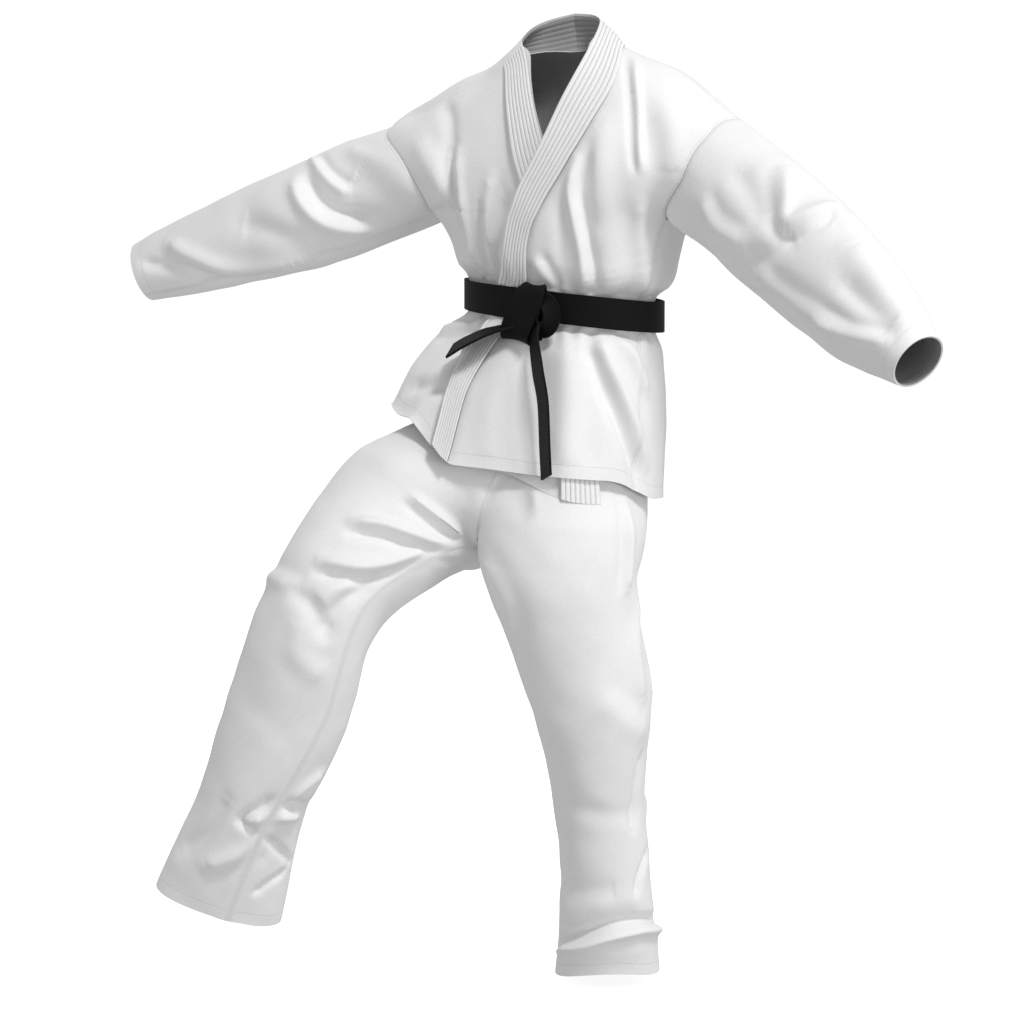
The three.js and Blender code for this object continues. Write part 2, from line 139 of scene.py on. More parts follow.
def fold_height(points, normals, folds):
    """Sum of soft folds. Each follows a smooth line through a few points: its height falls as exp(-(q/w)^2)
    with the distance q to its side, less a groove of the given share 1.6 w to one side (the other side where
    the share is negative), and it fades over its last sixth at each end."""
    total = np.zeros(points.shape[:-1])
    flat, normal, out = points.reshape(-1, 3), normals.reshape(-1, 3), total.reshape(-1)
    for path, width, height, groove in folds:
        line = through(path, np.linspace(0, len(path) - 1, FOLD_STEPS + 1))
        way = unit(np.gradient(line, axis=0))
        reach = 3.4 * width
        close = ((flat > line.min(0) - reach) & (flat < line.max(0) + reach)).all(-1)
        if not close.any():
            continue
        p, n = flat[close], normal[close]
        gap = ((p[:, None] - line[None]) ** 2).sum(-1)
        k = gap.argmin(1)
        rel, t = p - line[k], way[k]
        side = unit(np.cross(n, t))
        q = (rel * side).sum(-1)
        over = (rel * t).sum(-1)
        beyond = np.where((k == 0) | (k == FOLD_STEPS), np.abs(over), 0)
        deep = np.abs((rel * n).sum(-1))
        f = k / FOLD_STEPS
        fade = mix(0.45, 1, ease(np.minimum(f, 1 - f), 0, 0.17)) * np.exp(-((beyond / (0.8 * width)) ** 2))
        profile = np.exp(-((q / width) ** 2))
        profile -= abs(groove) * np.exp(-(((q - np.sign(groove) * 1.6 * width) / (0.9 * width)) ** 2))
        out[close] += height * profile * fade * np.exp(-((deep / 60) ** 2))
    return total


WAVES = 26
_waves = np.random.default_rng(7)
WAVE_WAY = unit(_waves.normal(size=(WAVES, 3)))
WAVE_PHASE = _waves.uniform(0, 2 * np.pi, WAVES)
WAVE_LONG = np.geomspace(38, 190, WAVES)


def ripple(points, height=1.0):
    """Slight unevenness of worn cloth: fixed plane waves, 38 to 190 mm long, the longer the higher."""
    phase = points @ WAVE_WAY.T * (2 * np.pi / WAVE_LONG) + WAVE_PHASE
    return height * (np.sin(phase) * (WAVE_LONG / 190) ** 1.2).sum(-1) * 0.42


# ---------------------------------------------------------------------------- meshes

def shell(name, grid, thick, material, ring=False, marks=None, flip=False, shade=None):
    """A closed sheet: the grid is its outer face, the inner one lies `thick` behind along the normals, and
    walls join their edges. UVs are the two running lengths in metres. `shade` gives the grid's shading
    normals where the piece goes on in another one, so that no line shows between them."""
    grid = grid[:, ::-1] if flip else grid
    shade = shade[:, ::-1] if flip and shade is not None else shade
    marks = {k: (v[:, ::-1] if flip else v) for k, v in (marks or {}).items()}
    rows, cols = grid.shape[:2]
    thick = np.broadcast_to(thick, (rows, cols))
    thick = thick[:, ::-1] if flip else thick
    inner = grid - normals_of(grid, ring) * thick[..., None]
    points = np.concatenate([grid.reshape(-1, 3), inner.reshape(-1, 3)]) * MM
    i, j = np.meshgrid(np.arange(rows - 1), np.arange(cols if ring else cols - 1), indexing="ij")
    j2 = (j + 1) % cols
    quad = np.stack([i * cols + j, i * cols + j2, (i + 1) * cols + j2, (i + 1) * cols + j], -1).reshape(-1, 4)
    half = rows * cols
    faces = [quad, quad[:, ::-1] + half]

    def wall(edge, back):
        a, b = edge[:-1], edge[1:]
        w = np.stack([a, a + half, b + half, b], -1)
        faces.append(w[:, ::-1] if back else w)

    index = np.arange(half).reshape(rows, cols)
    top, bottom = index[-1], index[0]
    if ring:
        top, bottom = np.append(top, top[0]), np.append(bottom, bottom[0])
    wall(bottom, False)
    wall(top, True)
    if not ring:
        wall(index[:, 0], True)
        wall(index[:, -1], False)
    faces_all = np.concatenate(faces)
    mesh = bpy.data.meshes.new(name)
    mesh.vertices.add(len(points))
    mesh.vertices.foreach_set("co", points.astype(np.float32).ravel())
    mesh.loops.add(faces_all.size)
    mesh.loops.foreach_set("vertex_index", faces_all.astype(np.int32).ravel())
    mesh.polygons.add(len(faces_all))
    mesh.polygons.foreach_set("loop_start", np.arange(0, faces_all.size, 4, dtype=np.int32))
    smooth = np.zeros(len(faces_all), bool)
    smooth[: 2 * len(quad)] = True
    mesh.polygons.foreach_set("use_smooth", smooth)
    mesh.update(calc_edges=True)
    u = arc_lengths(np.concatenate([grid, grid[:, :1]], 1) if ring else grid, 1)
    v = arc_lengths(grid, 0)
    layer = mesh.uv_layers.new(name="Cloth")
    corner = faces_all.ravel() % half
    uv = np.stack([u[:, :cols].reshape(-1)[corner], v.reshape(-1)[corner]], -1)
    if ring:
        last = (corner % cols == 0) & (np.repeat((faces_all % half % cols).max(1) == cols - 1, 4))
        uv[last, 0] = u[:, cols][corner[last] // cols]
    layer.data.foreach_set("uv", (uv * MM).astype(np.float32).ravel())
    for key, value in marks.items():
        attribute = mesh.attributes.new(key, "FLOAT", "POINT")
        both = np.concatenate([value.ravel(), value.ravel()]).astype(np.float32)
        attribute.data.foreach_set("value", both)
    # "inside" is 0 on the outer face and 1 on the inner one, where the cloth materials paint shade.
    inside = mesh.attributes.new("inside", "FLOAT", "POINT")
    inside.data.foreach_set("value", np.repeat([0.0, 1.0], half).astype(np.float32))
    mesh.validate()
    if shade is None:
        mesh.set_sharp_from_angle(angle=np.radians(60))
    else:
        outer = shade.reshape(-1, 3)[quad.ravel()]
        inner_loops = -shade.reshape(-1, 3)[quad[:, ::-1].ravel()]
        rim = np.zeros((faces_all.size - 2 * quad.size, 3))
        mesh.normals_split_custom_set(np.concatenate([outer, inner_loops, rim]).tolist())
    mesh.materials.append(material)
    piece = bpy.data.objects.new(name, mesh)
    bpy.context.collection.objects.link(piece)
    return piece


def no_stitches(grid):
    """Marks for a piece without a sewn hem or side seam: both are out of reach at every point."""
    far = np.full(grid.shape[:2], OUT_OF_REACH)
    return {"hem_mm": far, "seam_mm": far}


# ---------------------------------------------------------------------------- the jacket's shape

# One row for each level of the jacket, from the hem to the shoulder line, in millimetres: height at the
# centre, height at the sides, half width right and left, half depth front and back, rise towards the
# wearer's left, corner power, and how far the right front stands out over the raised thigh.
BELT_WIDTH = 45.0
BELT_HEIGHT = -380.0
BELT_TILT = -0.115
WAIST = (147.0, 147.0, 102.0, 97.0)
LEVELS = np.array([
    (-620, -620, 258, 156, 170, 118, -0.10, 0.84, 34),
    (-520, -520, 228, 159, 147, 118, -0.12, 0.86, 20),
    (-440, -440, 190, 157, 122, 112, -0.12, 0.90, 0),
    (-403.5, -403.5, *WAIST, BELT_TILT, 0.95, 0),
    (-356.5, -356.5, *WAIST, BELT_TILT, 0.95, 0),
    (-315, -315, 158, 178, 121, 112, -0.09, 0.90, 0),
    (-250, -250, 203, 203, 130, 120, -0.045, 0.82, 0),
    (-150, -203, 285, 285, 127, 118, -0.02, 0.72, 0),
    (-55, -165, 316, 316, 102, 106, -0.01, 0.70, 0),
    (3, -136, 300, 300, 62, 75, 0, 0.80, 0),
    (38, -118, 288, 288, 1, 1, 0, 1.0, 0),
])
ARMPIT, CAP, TOP = 6, 8, 10
ROLL_SLOPE = -140.0
SIDE_PANEL = 15.0
# the lapels' free and sewn edges: level, and x where the edge crosses it
LEFT_EDGE = [(0, -111), (0.3, -109), (0.5, -107), (0.93, -104), (1.28, -101), (1.7, -92), (2.35, -76),
             (3, -60), (4.2, -44), (5.2, -27), (5.94, -15), (6.43, 4), (6.72, 22), (7.04, 37), (7.46, 52),
             (7.96, 65),
             (8.4, 74), (8.8, 77), (9.46, 69), (10, 63)]
LEFT_SEWN = [(0, -84), (0.6, -76), (0.94, -71), (1.28, -62), (1.7, -46), (2.35, -28), (3, -14), (4.24, 4),
             (5.38, 14), (5.79, 24), (6.25, 46), (6.73, 76), (7.43, 109), (8.16, 131), (8.77, 136), (10, 106)]
RIGHT_EDGE = [(0, 129), (1, 120), (2, 108), (3, 102), (4, 98), (5, 92), (6, 78), (6.5, 62), (7.04, 37),
              (7.55, 15), (7.97, 0), (8.51, -13), (8.8, -21), (9.2, -44), (10, -72)]
RIGHT_SEWN = [(0, 84), (1, 75), (2, 63), (3, 57), (4, 53), (5, 44), (6, 22), (6.4, 3), (6.88, -15),
              (7.36, -26), (7.88, -40), (8.45, -48), (8.8, -60), (10, -104)]
# points of the free and the sewn edge round the neck, from beside it to the nape
NECK_LEFT = [((77, -42, 6), (123, -46, -20)), ((62, 2, 30), (106, -4, -2)), ((39, 42, 43), (80, 42, -5)),
             ((12, 68, 52), (30, 82, -7)), ((-19.8, 76, 56), (-19.8, 86, -7))]
NECK_RIGHT = [((-42, -48, 3), (-72, -52, -29)), ((-62, -8, 14), (-98, -2, -21)),
              ((-68, 30, 32), (-96, 38, -18)), ((-58, 60, 46), (-70, 73, -15)),
              ((-20.2, 76, 56), (-20.2, 86, -7))]
LAPEL_THICK = 4.6
LAPEL_RIBS = 8
RIB_WIDTH = 7.0
LAYER = 1.8
CLOTH = 1.6
UNDER = 11.0


def jacket_level(v):
    """The jacket's measures at level v. Over the shoulders, from level 8 up, height and depth follow a
    Hermite cubic that leaves level 8 with the front's own slope and comes in level at the shoulder line,
    so that the front rolls over into the back."""
    v = np.asarray(v, float)
    row = through(LEVELS, v)
    f = np.clip((v - CAP) / (TOP - CAP), 0, 1)
    low, high = LEVELS[CAP], LEVELS[TOP]
    for key, end_slope in ((0, 0), (1, 0), (4, ROLL_SLOPE), (5, ROLL_SLOPE)):
        slope = LEVELS[CAP + 1][key] - LEVELS[CAP - 1][key]
        curve = ((2 * f**3 - 3 * f**2 + 1) * low[key] + (f**3 - 2 * f**2 + f) * slope
                 + (3 * f**2 - 2 * f**3) * high[key] + (f**3 - f**2) * end_slope)
        row[..., key] = np.where(v > CAP, curve, row[..., key])
    return row


def hem_shift(x, y, v):
    """How far the skirt is lifted near its hem: 68 mm where it lies over the raised thigh, in front and at
    the wearer's right, and -30 mm at the back on the left, both gone two levels up."""
    lift = 68 * ease(-x, 75, 165) * ease(-y, -90, 0) * np.clip(1 - v / 2.2, 0, 1) ** 1.5
    return lift - 30 * ease(y, -110, 10) * ease(x, -60, 140) * np.clip(1 - v / 1.6, 0, 1) ** 1.5


def jacket_point(v, angle, side):
    """Point of the jacket at level v and at an angle in degrees from the middle of the front (side 1) or of
    the back (side -1): an oval whose x is the half width times sin(angle)^power and whose y is the half
    depth times cos(angle)^power, its height sloping from the centre to the sides. Over the shoulders the
    height has two humps and, beside the neck on the right, a hollow, each a Gaussian in x."""
    z, low, right, left, front, back, tilt, power, raised = np.moveaxis(jacket_level(v), -1, 0)
    rad = np.radians(angle)
    wide = np.where(angle < 0, right, left)
    x = np.sign(angle) * wide * np.abs(np.sin(rad)) ** power
    y = np.clip(np.cos(rad), 0, 1) ** power
    height = mix(z, low, (np.abs(x) / wide) ** 1.2) + tilt * x
    hump = 15 * np.exp(-(((x - 200) / 60) ** 2)) + 12 * np.exp(-(((x + 270) / 45) ** 2))
    hollow = 14 * np.exp(-(((x + 105) / 45) ** 2))
    height = height + (hump - hollow) * ease(v, 7.5, 9.3)
    front = front + raised * ease(-x / wide, -0.1, 0.6)
    depth = np.where(side > 0, -y * front, y * back)
    return np.stack([x, depth, height + hem_shift(x, depth, v)], -1)


def angle_at(v, x):
    """The front angle at which level v reaches x: the inverse of jacket_point's rule for x."""
    row = jacket_level(v)
    wide = np.where(x < 0, row[..., 2], row[..., 3])
    share = np.clip(np.abs(x) / wide, 0, 1) ** (1 / row[..., 7])
    return np.sign(x) * np.degrees(np.arcsin(share))


def side_angle(v, where="back"):
    """Angle of the side seam; above the armpit the same edge runs round the armhole to the shoulder. Its
    depth is a half sine along the armhole, fuller low down in front, where each front has its own."""
    t = np.clip((v - ARMPIT) / (TOP - ARMPIT), 0, 1)
    if where == "left":
        depth = 30 * np.sin(np.pi * t**0.85)
    elif where == "right":
        depth = 41 * np.sin(np.pi * t**0.6)
    else:
        depth = 34 * np.sin(np.pi * t)
    return 90 - SIDE_PANEL + SIDE_PANEL * t - depth


def table(pairs, v):
    """A value against the level, from a list of pairs: straight between them, then smoothed over a quarter
    of a level by averaging five neighbours."""
    at, value = np.array(pairs, float).T
    return sum(np.interp(v + d, at, value) for d in (-0.12, -0.06, 0, 0.06, 0.12)) / 5


# a line of points, width, height, and the share of the groove beside it
JACKET_FOLDS = [
    ([(133, -24, -26), (170, -86, -81), (185, -108, -153), (190, -110, -190)], 7, 6, -0.9),
    ([(170, -88, -82), (194, -101, -137), (210, -103, -196), (187, -70, -254), (163, -39, -343)], 24, -7, 0),
    ([(94, -126, -175), (85, -127, -219), (88, -123, -256), (94, -111, -307), (91, -85, -360)], 9, 9, 0.9),
    ([(128, -111, -122), (129, -122, -175), (131, -104, -272), (121, -70, -357)], 19, 5, 0.3),
    ([(180, -94, -237), (167, -67, -295), (149, -31, -361)], 12, 6, 0.5),
    ([(113, -121, -155), (111, -124, -219), (113, -112, -273)], 9, -4, 0),
    ([(71, -128, -231), (67, -121, -295), (64, -99, -350)], 12, -4, 0),
    ([(23, -120, -318), (32, -112, -336), (39, -100, -358)], 9, 5, 0.7),
    ([(-115, -122, -155), (-111, -124, -213), (-104, -109, -278), (-101, -93, -316)], 10, 8, -0.8),
    ([(-167, -78, -69), (-136, -108, -114), (-122, -124, -187), (-126, -115, -234)], 13, -7, 0),
    ([(-73, -127, -236), (-78, -117, -284), (-75, -94, -336)], 7, -6, 0),
    ([(-23, -130, -228), (-42, -127, -271), (-54, -113, -318), (-53, -97, -346)], 12, -8, 0),
    ([(-51, -130, -195), (-59, -128, -244), (-62, -117, -299)], 12, 6, 0.4),
    ([(-189, -104, -139), (-157, -118, -176), (-137, -116, -220)], 18, 5, 0.3),
    ([(212, -81, -102), (229, -91, -145), (227, -96, -197)], 21, 5, 0),
    ([(105, -84, -432), (130, -85, -475), (160, -60, -555), (170, -34, -613)], 12, 10, -0.7),
    ([(74, -108, -442), (81, -131, -521), (86, -152, -613)], 24, 7, 0.4),
    ([(125, -62, -427), (152, -46, -462), (163, -29, -507)], 12, 7, 0.6),
    ([(121, -98, -491), (144, -87, -541), (162, -65, -598), (168, -57, -642)], 13, -7, 0),
    ([(-89, -84, -394), (-128, -69, -406), (-166, -55, -428)], 9, 8, 0.6),
    ([(-69, -95, -403), (-97, -101, -421), (-124, -107, -444)], 7, 6, 0.6),
    ([(-93, -116, -442), (-115, -127, -467), (-137, -134, -490)], 12, 7, 0.5),
    ([(-110, -149, -500), (-143, -137, -500), (-200, -117, -501)], 13, -9, 0),
    ([(-30, -127, -449), (-28, -153, -521), (-22, -176, -607)], 24, 5, 0.3),
    ([(3, -125, -448), (27, -145, -520), (51, -166, -620)], 21, -5, 0),
    ([(-60, 116, -230), (-48, 112, -300), (-40, 100, -352)], 12, 8, 0.7),
    ([(70, 116, -230), (58, 112, -300), (50, 100, -352)], 12, 8, 0.7),
    ([(130, 96, -240), (116, 88, -300), (104, 78, -352)], 11, 7, 0.7),
    ([(-130, 96, -240), (-116, 88, -300), (-104, 78, -352)], 11, 7, -0.7),
    ([(8, 120, -270), (6, 112, -310), (4, 100, -352)], 10, 6, 0.6),
    ([(-190, 84, -160), (-120, 110, -190), (-50, 120, -226)], 17, 6, 0.6),
    ([(190, 84, -160), (120, 110, -190), (50, 120, -226)], 17, 6, -0.6),
    ([(-90, 92, -406), (-106, 100, -480), (-120, 106, -560)], 14, 8, 0.7),
    ([(-30, 98, -406), (-30, 108, -480), (-30, 116, -560)], 15, 7, 0.7),
    ([(36, 98, -406), (40, 108, -500), (44, 116, -590)], 15, 8, 0.7),
    ([(96, 82, -408), (108, 90, -500), (120, 96, -600)], 14, 8, 0.7),
]
GATHER_TURNS = np.random.default_rng(11).uniform(0, 2 * np.pi, 9)


def above_belt(points):
    """Height over the belt's middle line, which slopes with x."""
    return points[..., 2] - (BELT_HEIGHT + BELT_TILT * points[..., 0])


def gathers(points):
    """Small pleats where the belt draws the cloth in: waves round the waist, strongest at the belt's two
    edges and gone 70 mm away from them."""
    around = np.arctan2(points[..., 0], -points[..., 1])
    gap = np.maximum(np.abs(above_belt(points)) - BELT_WIDTH / 2, 0)
    wave = sum(np.sin(around * k + GATHER_TURNS[n]) / 3 for n, k in enumerate((13, 17, 22, 27, 35)))
    return 2.6 * wave * np.exp(-((gap / 34) ** 1.3)) * ease(gap, 0, 7)


def jacket_surface(v, angle, side, offset=0.0, flip=False):
    """Jacket points pushed out along their normals by the folds, the gathers and an offset."""
    base = jacket_point(v, angle, side)
    normal = normals_of(base) * (-1 if flip else 1)
    level = above_belt(base)
    free = ease(np.abs(level), BELT_WIDTH / 2 - 2, BELT_WIDTH / 2 + 26)
    blouse = 7 * np.exp(-(((level - 48) / 22) ** 2)) * ease(np.abs(base[..., 0]), 20, 130)
    push = fold_height(base, normal, JACKET_FOLDS) + ripple(base, 1.1)
    near_top = 1 - ease(np.asarray(v, float), 8.6, 9.9)
    push = (push * near_top + blouse) * mix(0.12, 1, free) + gathers(base)
    return base + normal * (push + offset)[..., None]


def near_edges(grid, cols):
    """Distance along its row from each point to the nearer of the side edges that `cols` picks."""
    length = arc_lengths(grid, 1)
    first = length if cols[0] else np.full(length.shape, OUT_OF_REACH)
    last = length[:, -1:] - length if cols[1] else np.full(length.shape, OUT_OF_REACH)
    return np.minimum(first, last)


def tuck(grid, cols, flip, depth=0.5, reach=3.0):
    """Turns the side edges in by `depth` over the last few millimetres, so neighbours meet in a groove."""
    normal = normals_of(grid) * (-1 if flip else 1)
    return grid - normal * (depth * (1 - ease(near_edges(grid, cols), 0, reach)))[..., None]


def level_rows(a, b, n, extra):
    """n levels from a to b, with more where `extra` names a level that bends sharply."""
    t = np.linspace(a, b, n)
    for centre, width, count in extra:
        t = np.append(t, np.linspace(max(a, centre - width), min(b, centre + width), count))
    return np.unique(np.round(t, 4))


PANEL_ROWS = level_rows(0, TOP, 200, [(3.5, 1.0, 60), (9.2, 0.8, 40)])


# ---------------------------------------------------------------------------- materials

def node_group(name, inputs, outputs):
    """A new shader node group with its sockets: (name, type, default) for each input, (name, type) out."""
    group = bpy.data.node_groups.new(name, "ShaderNodeTree")
    for label, kind, default in inputs:
        socket = group.interface.new_socket(name=label, in_out="INPUT", socket_type=kind)
        socket.default_value = default
    for label, kind in outputs:
        group.interface.new_socket(name=label, in_out="OUTPUT", socket_type=kind)
    return group, group.nodes.new("NodeGroupInput"), group.nodes.new("NodeGroupOutput")


def maths(tree, operation, a, b=None, c=None):
    """One Math node; an argument is a number or another node's output socket."""
    node = tree.nodes.new("ShaderNodeMath")
    node.operation = operation
    for slot, value in enumerate((a, b, c)):
        if value is None:
            continue
        if isinstance(value, (int, float)):
            node.inputs[slot].default_value = value
        else:
            tree.links.new(value, node.inputs[slot])
    return node.outputs[0]


def line_group():
    """Stitch line: 1 on a thin line a set distance from an edge, broken into stitches along the other way."""
    group, inp, out = node_group(
        "Stitch Line",
        [("Distance", "NodeSocketFloat", 10.0), ("Along", "NodeSocketFloat", 0.0),
         ("Offset", "NodeSocketFloat", 3.0), ("Width", "NodeSocketFloat", 0.6),
         ("Stitch", "NodeSocketFloat", 3.0)],
        [("Mask", "NodeSocketFloat")])
    gap = maths(group, "ABSOLUTE", maths(group, "SUBTRACT", inp.outputs["Distance"], inp.outputs["Offset"]))
    line = maths(group, "SUBTRACT", 1.0, maths(group, "DIVIDE", gap, inp.outputs["Width"]))
    line = maths(group, "MAXIMUM", line, 0.0)
    beat = maths(group, "FRACT", maths(group, "DIVIDE", inp.outputs["Along"], inp.outputs["Stitch"]))
    on = maths(group, "LESS_THAN", beat, 0.78)
    depth = maths(group, "MULTIPLY_ADD", on, 0.6, 0.4)
    group.links.new(maths(group, "MULTIPLY", line, depth), out.inputs["Mask"])
    return group


def weave_group():
    """Plain weave on the cloth's own UV in metres: two sets of threads that pass over each other in turn,
    with slubs that make some threads thicker, and a slow unevenness in the cloth's colour."""
    group, inp, out = node_group(
        "Plain Weave",
        [("Thread", "NodeSocketFloat", 0.0011), ("Slub", "NodeSocketFloat", 0.5)],
        [("Height", "NodeSocketFloat"), ("Tone", "NodeSocketFloat"), ("Fuzz", "NodeSocketFloat")])
    coord = group.nodes.new("ShaderNodeTexCoord")
    split = group.nodes.new("ShaderNodeSeparateXYZ")
    group.links.new(coord.outputs["UV"], split.inputs[0])
    u = maths(group, "DIVIDE", split.outputs[0], inp.outputs["Thread"])
    v = maths(group, "DIVIDE", split.outputs[1], inp.outputs["Thread"])
    warp = maths(group, "SINE", maths(group, "MULTIPLY", u, np.pi))
    weft = maths(group, "SINE", maths(group, "MULTIPLY", v, np.pi))
    thread = maths(group, "MULTIPLY", warp, weft)
    slub = group.nodes.new("ShaderNodeTexNoise")
    slub.inputs["Scale"].default_value = 520.0
    slub.inputs["Detail"].default_value = 3.0
    group.links.new(coord.outputs["Object"], slub.inputs["Vector"])
    centred = maths(group, "SUBTRACT", slub.outputs["Fac"], 0.5)
    uneven = maths(group, "MULTIPLY", centred, inp.outputs["Slub"])
    group.links.new(maths(group, "MULTIPLY_ADD", thread, 0.3, uneven), out.inputs["Height"])
    slow = group.nodes.new("ShaderNodeTexNoise")
    slow.inputs["Scale"].default_value = 7.0
    slow.inputs["Detail"].default_value = 4.0
    slow.inputs["Roughness"].default_value = 0.6
    group.links.new(coord.outputs["Object"], slow.inputs["Vector"])
    fine = maths(group, "MULTIPLY", centred, 1.7)
    group.links.new(maths(group, "ADD", slow.outputs["Fac"], fine), out.inputs["Tone"])
    group.links.new(slub.outputs["Fac"], out.inputs["Fuzz"])
    return group


def cloth_material(name, light, dark, roughness, sheen, thread, weave_height, stitch_groove_shade, groups,
                   seams=(1.0, 4.0), stitch_share=0.32, gloss=0.25):
    """Cotton: colour between two tones by the weave's unevenness, with painted shade along its stitching and
    on its inner face, with the threads and the stitches in its bump."""
    material = bpy.data.materials.new(name)
    material.use_nodes = True
    tree = material.node_tree
    bsdf = tree.nodes["Principled BSDF"]
    weave = tree.nodes.new("ShaderNodeGroup")
    weave.node_tree = groups["weave"]
    weave.inputs["Thread"].default_value = thread
    ramp = tree.nodes.new("ShaderNodeMix")
    ramp.data_type = "RGBA"
    ramp.inputs[6].default_value = (*dark, 1)
    ramp.inputs[7].default_value = (*light, 1)
    tree.links.new(maths(tree, "MULTIPLY_ADD", weave.outputs["Tone"], 0.9, 0.15), ramp.inputs[0])
    coord = tree.nodes.new("ShaderNodeTexCoord")
    split = tree.nodes.new("ShaderNodeSeparateXYZ")
    tree.links.new(coord.outputs["UV"], split.inputs[0])
    masks = []
    for attribute, way, offsets in (("hem_mm", 0, (18.0,)), ("seam_mm", 1, seams)):
        mark = tree.nodes.new("ShaderNodeAttribute")
        mark.attribute_name = attribute
        along = maths(tree, "MULTIPLY", split.outputs[way], 1000.0)
        for offset in offsets:
            line = tree.nodes.new("ShaderNodeGroup")
            line.node_tree = groups["line"]
            line.inputs["Offset"].default_value = offset
            line.inputs["Width"].default_value = 1.0 if offset > 2 else 1.3
            tree.links.new(mark.outputs["Fac"], line.inputs["Distance"])
            tree.links.new(along, line.inputs["Along"])
            masks.append(line.outputs["Mask"])
    stitches = masks[0]
    for mask in masks[1:]:
        stitches = maths(tree, "MAXIMUM", stitches, mask)
    # Painted shade: along the stitch lines the colour is drawn towards the stitch colour by stitch_share, for
    # the shade in their sunken grooves.
    shade = tree.nodes.new("ShaderNodeMix")
    shade.data_type = "RGBA"
    shade.inputs[7].default_value = (*stitch_groove_shade, 1)
    tree.links.new(maths(tree, "MULTIPLY", stitches, stitch_share), shade.inputs[0])
    # Painted shade: the inner face, where the attribute "inside" is 1, is drawn 0.62 of the way to a third of
    # the dark tone, for the shade inside the garment.
    inner = tree.nodes.new("ShaderNodeAttribute")
    inner.attribute_name = "inside"
    painted_inner_shade = tree.nodes.new("ShaderNodeMix")
    painted_inner_shade.data_type = "RGBA"
    painted_inner_shade.inputs[7].default_value = (*(c * 0.35 for c in dark), 1)
    tree.links.new(maths(tree, "MULTIPLY", inner.outputs["Fac"], 0.62), painted_inner_shade.inputs[0])
    tree.links.new(ramp.outputs[2], painted_inner_shade.inputs[6])
    tree.links.new(painted_inner_shade.outputs[2], shade.inputs[6])
    tree.links.new(shade.outputs[2], bsdf.inputs["Base Color"])
    rough = maths(tree, "MULTIPLY_ADD", weave.outputs["Fuzz"], 0.14, roughness - 0.07)
    tree.links.new(rough, bsdf.inputs["Roughness"])
    bsdf.inputs["Sheen Weight"].default_value = sheen
    bsdf.inputs["Sheen Roughness"].default_value = 0.5
    bsdf.inputs["Specular IOR Level"].default_value = gloss
    bump = tree.nodes.new("ShaderNodeBump")
    bump.inputs["Strength"].default_value = 0.5
    bump.inputs["Distance"].default_value = weave_height
    height = maths(tree, "SUBTRACT", weave.outputs["Height"], maths(tree, "MULTIPLY", stitches, 1.5))
    tree.links.new(height, bump.inputs["Height"])
    tree.links.new(bump.outputs["Normal"], bsdf.inputs["Normal"])
    return material


_materials = {}


def material(name):
    """The uniform's three materials, made the first time one is asked for."""
    if not _materials:
        look = bpy.context.scene.uniform_look
        groups = {"weave": weave_group(), "line": line_group()}
        white, black = tuple(look.cotton_colour), tuple(look.belt_colour)
        # The last colour given to each material, 0.55, 0.42 and 0.4 of its own, is the painted shade of its
        # stitch grooves.
        _materials["cotton"] = cloth_material(
            "White Cotton", white, tuple(c * 0.86 for c in white), 0.88, 0.12, 0.0011, 0.0004,
            tuple(c * 0.55 for c in white), groups)
        _materials["lapel"] = cloth_material(
            "Lapel Cotton", white, tuple(c * 0.86 for c in white), 0.88, 0.12, 0.0009, 0.0003,
            tuple(c * 0.42 for c in white), groups, seams=(0.0,), stitch_share=0.62)
        _materials["belt"] = cloth_material(
            "Black Belt Cotton", black, tuple(c * 0.6 for c in black), 0.6, 0.02, 0.0008, 0.0004,
            tuple(c * 0.4 for c in black), groups, gloss=0.12)
    return _materials[name]


# ---------------------------------------------------------------------------- jacket panels

def panel_grid(start, stop, count, offset=None):
    """A front of the jacket: for each level a run of angles from start to stop, on the folded surface."""
    v = PANEL_ROWS[:, None] * np.ones(count)
    s = np.linspace(0, 1, count)
    angle = mix(start(PANEL_ROWS)[:, None], stop(PANEL_ROWS)[:, None], s)
    push = 0.0 if offset is None else offset(angle, v)
    return v, jacket_surface(v, angle, 1, push)


def left_front():
    """The outer front, from its lapel's edge to the left side."""
    _, grid = panel_grid(lambda r: angle_at(r, table(LEFT_EDGE, r)), lambda r: side_angle(r, "left"), 120)
    return grid


def under_depth(angle, v):
    """How far the right front lies inside: nothing at its own side edge, the full wrap 29 degrees in, and
    nothing again over the shoulder."""
    return -UNDER * ease(angle + side_angle(v, "right"), 3, 29) * (1 - ease(v, 8.6, 9.7))


def dip(grid, v):
    """Lets the wrapped-under front hang lower than the other one: up to 34 mm at its hem, and nothing from
    1.3 levels up."""
    low = 34 * ease(grid[..., 0], -20, 110) * np.clip(1 - v / 1.3, 0, 1) ** 2
    return grid - np.stack([0 * low, 0 * low, low], -1)


def right_front():
    """The front that is wrapped under, from the right side to its own lapel's edge."""
    v, grid = panel_grid(lambda r: -side_angle(r, "right"), lambda r: angle_at(r, table(RIGHT_EDGE, r)), 130,
                         under_depth)
    return dip(grid, v)


def back_half(sign):
    """Half of the back: its columns run from the middle seam to the side. The rows are squeezed, column by
    column, to end where the column first comes inside the neck's oval, 148 by 150 mm."""
    count, probes = 110, 160
    s = np.linspace(0, 1, count)
    column = side_angle(np.full(count, 9.3)) * s
    probe = np.linspace(CAP, TOP, probes)
    points = jacket_point(probe[:, None] * np.ones(count), column[None, :] * np.ones((probes, 1)), -1)
    inside = np.hypot(points[..., 0] / 74, points[..., 1] / 75) < 1
    neck = np.where(inside.any(0), probe[inside.argmax(0)], TOP)
    v = (PANEL_ROWS / TOP)[:, None] * neck[None, :]
    return jacket_surface(v, sign * side_angle(v) * s, -1, flip=sign > 0)


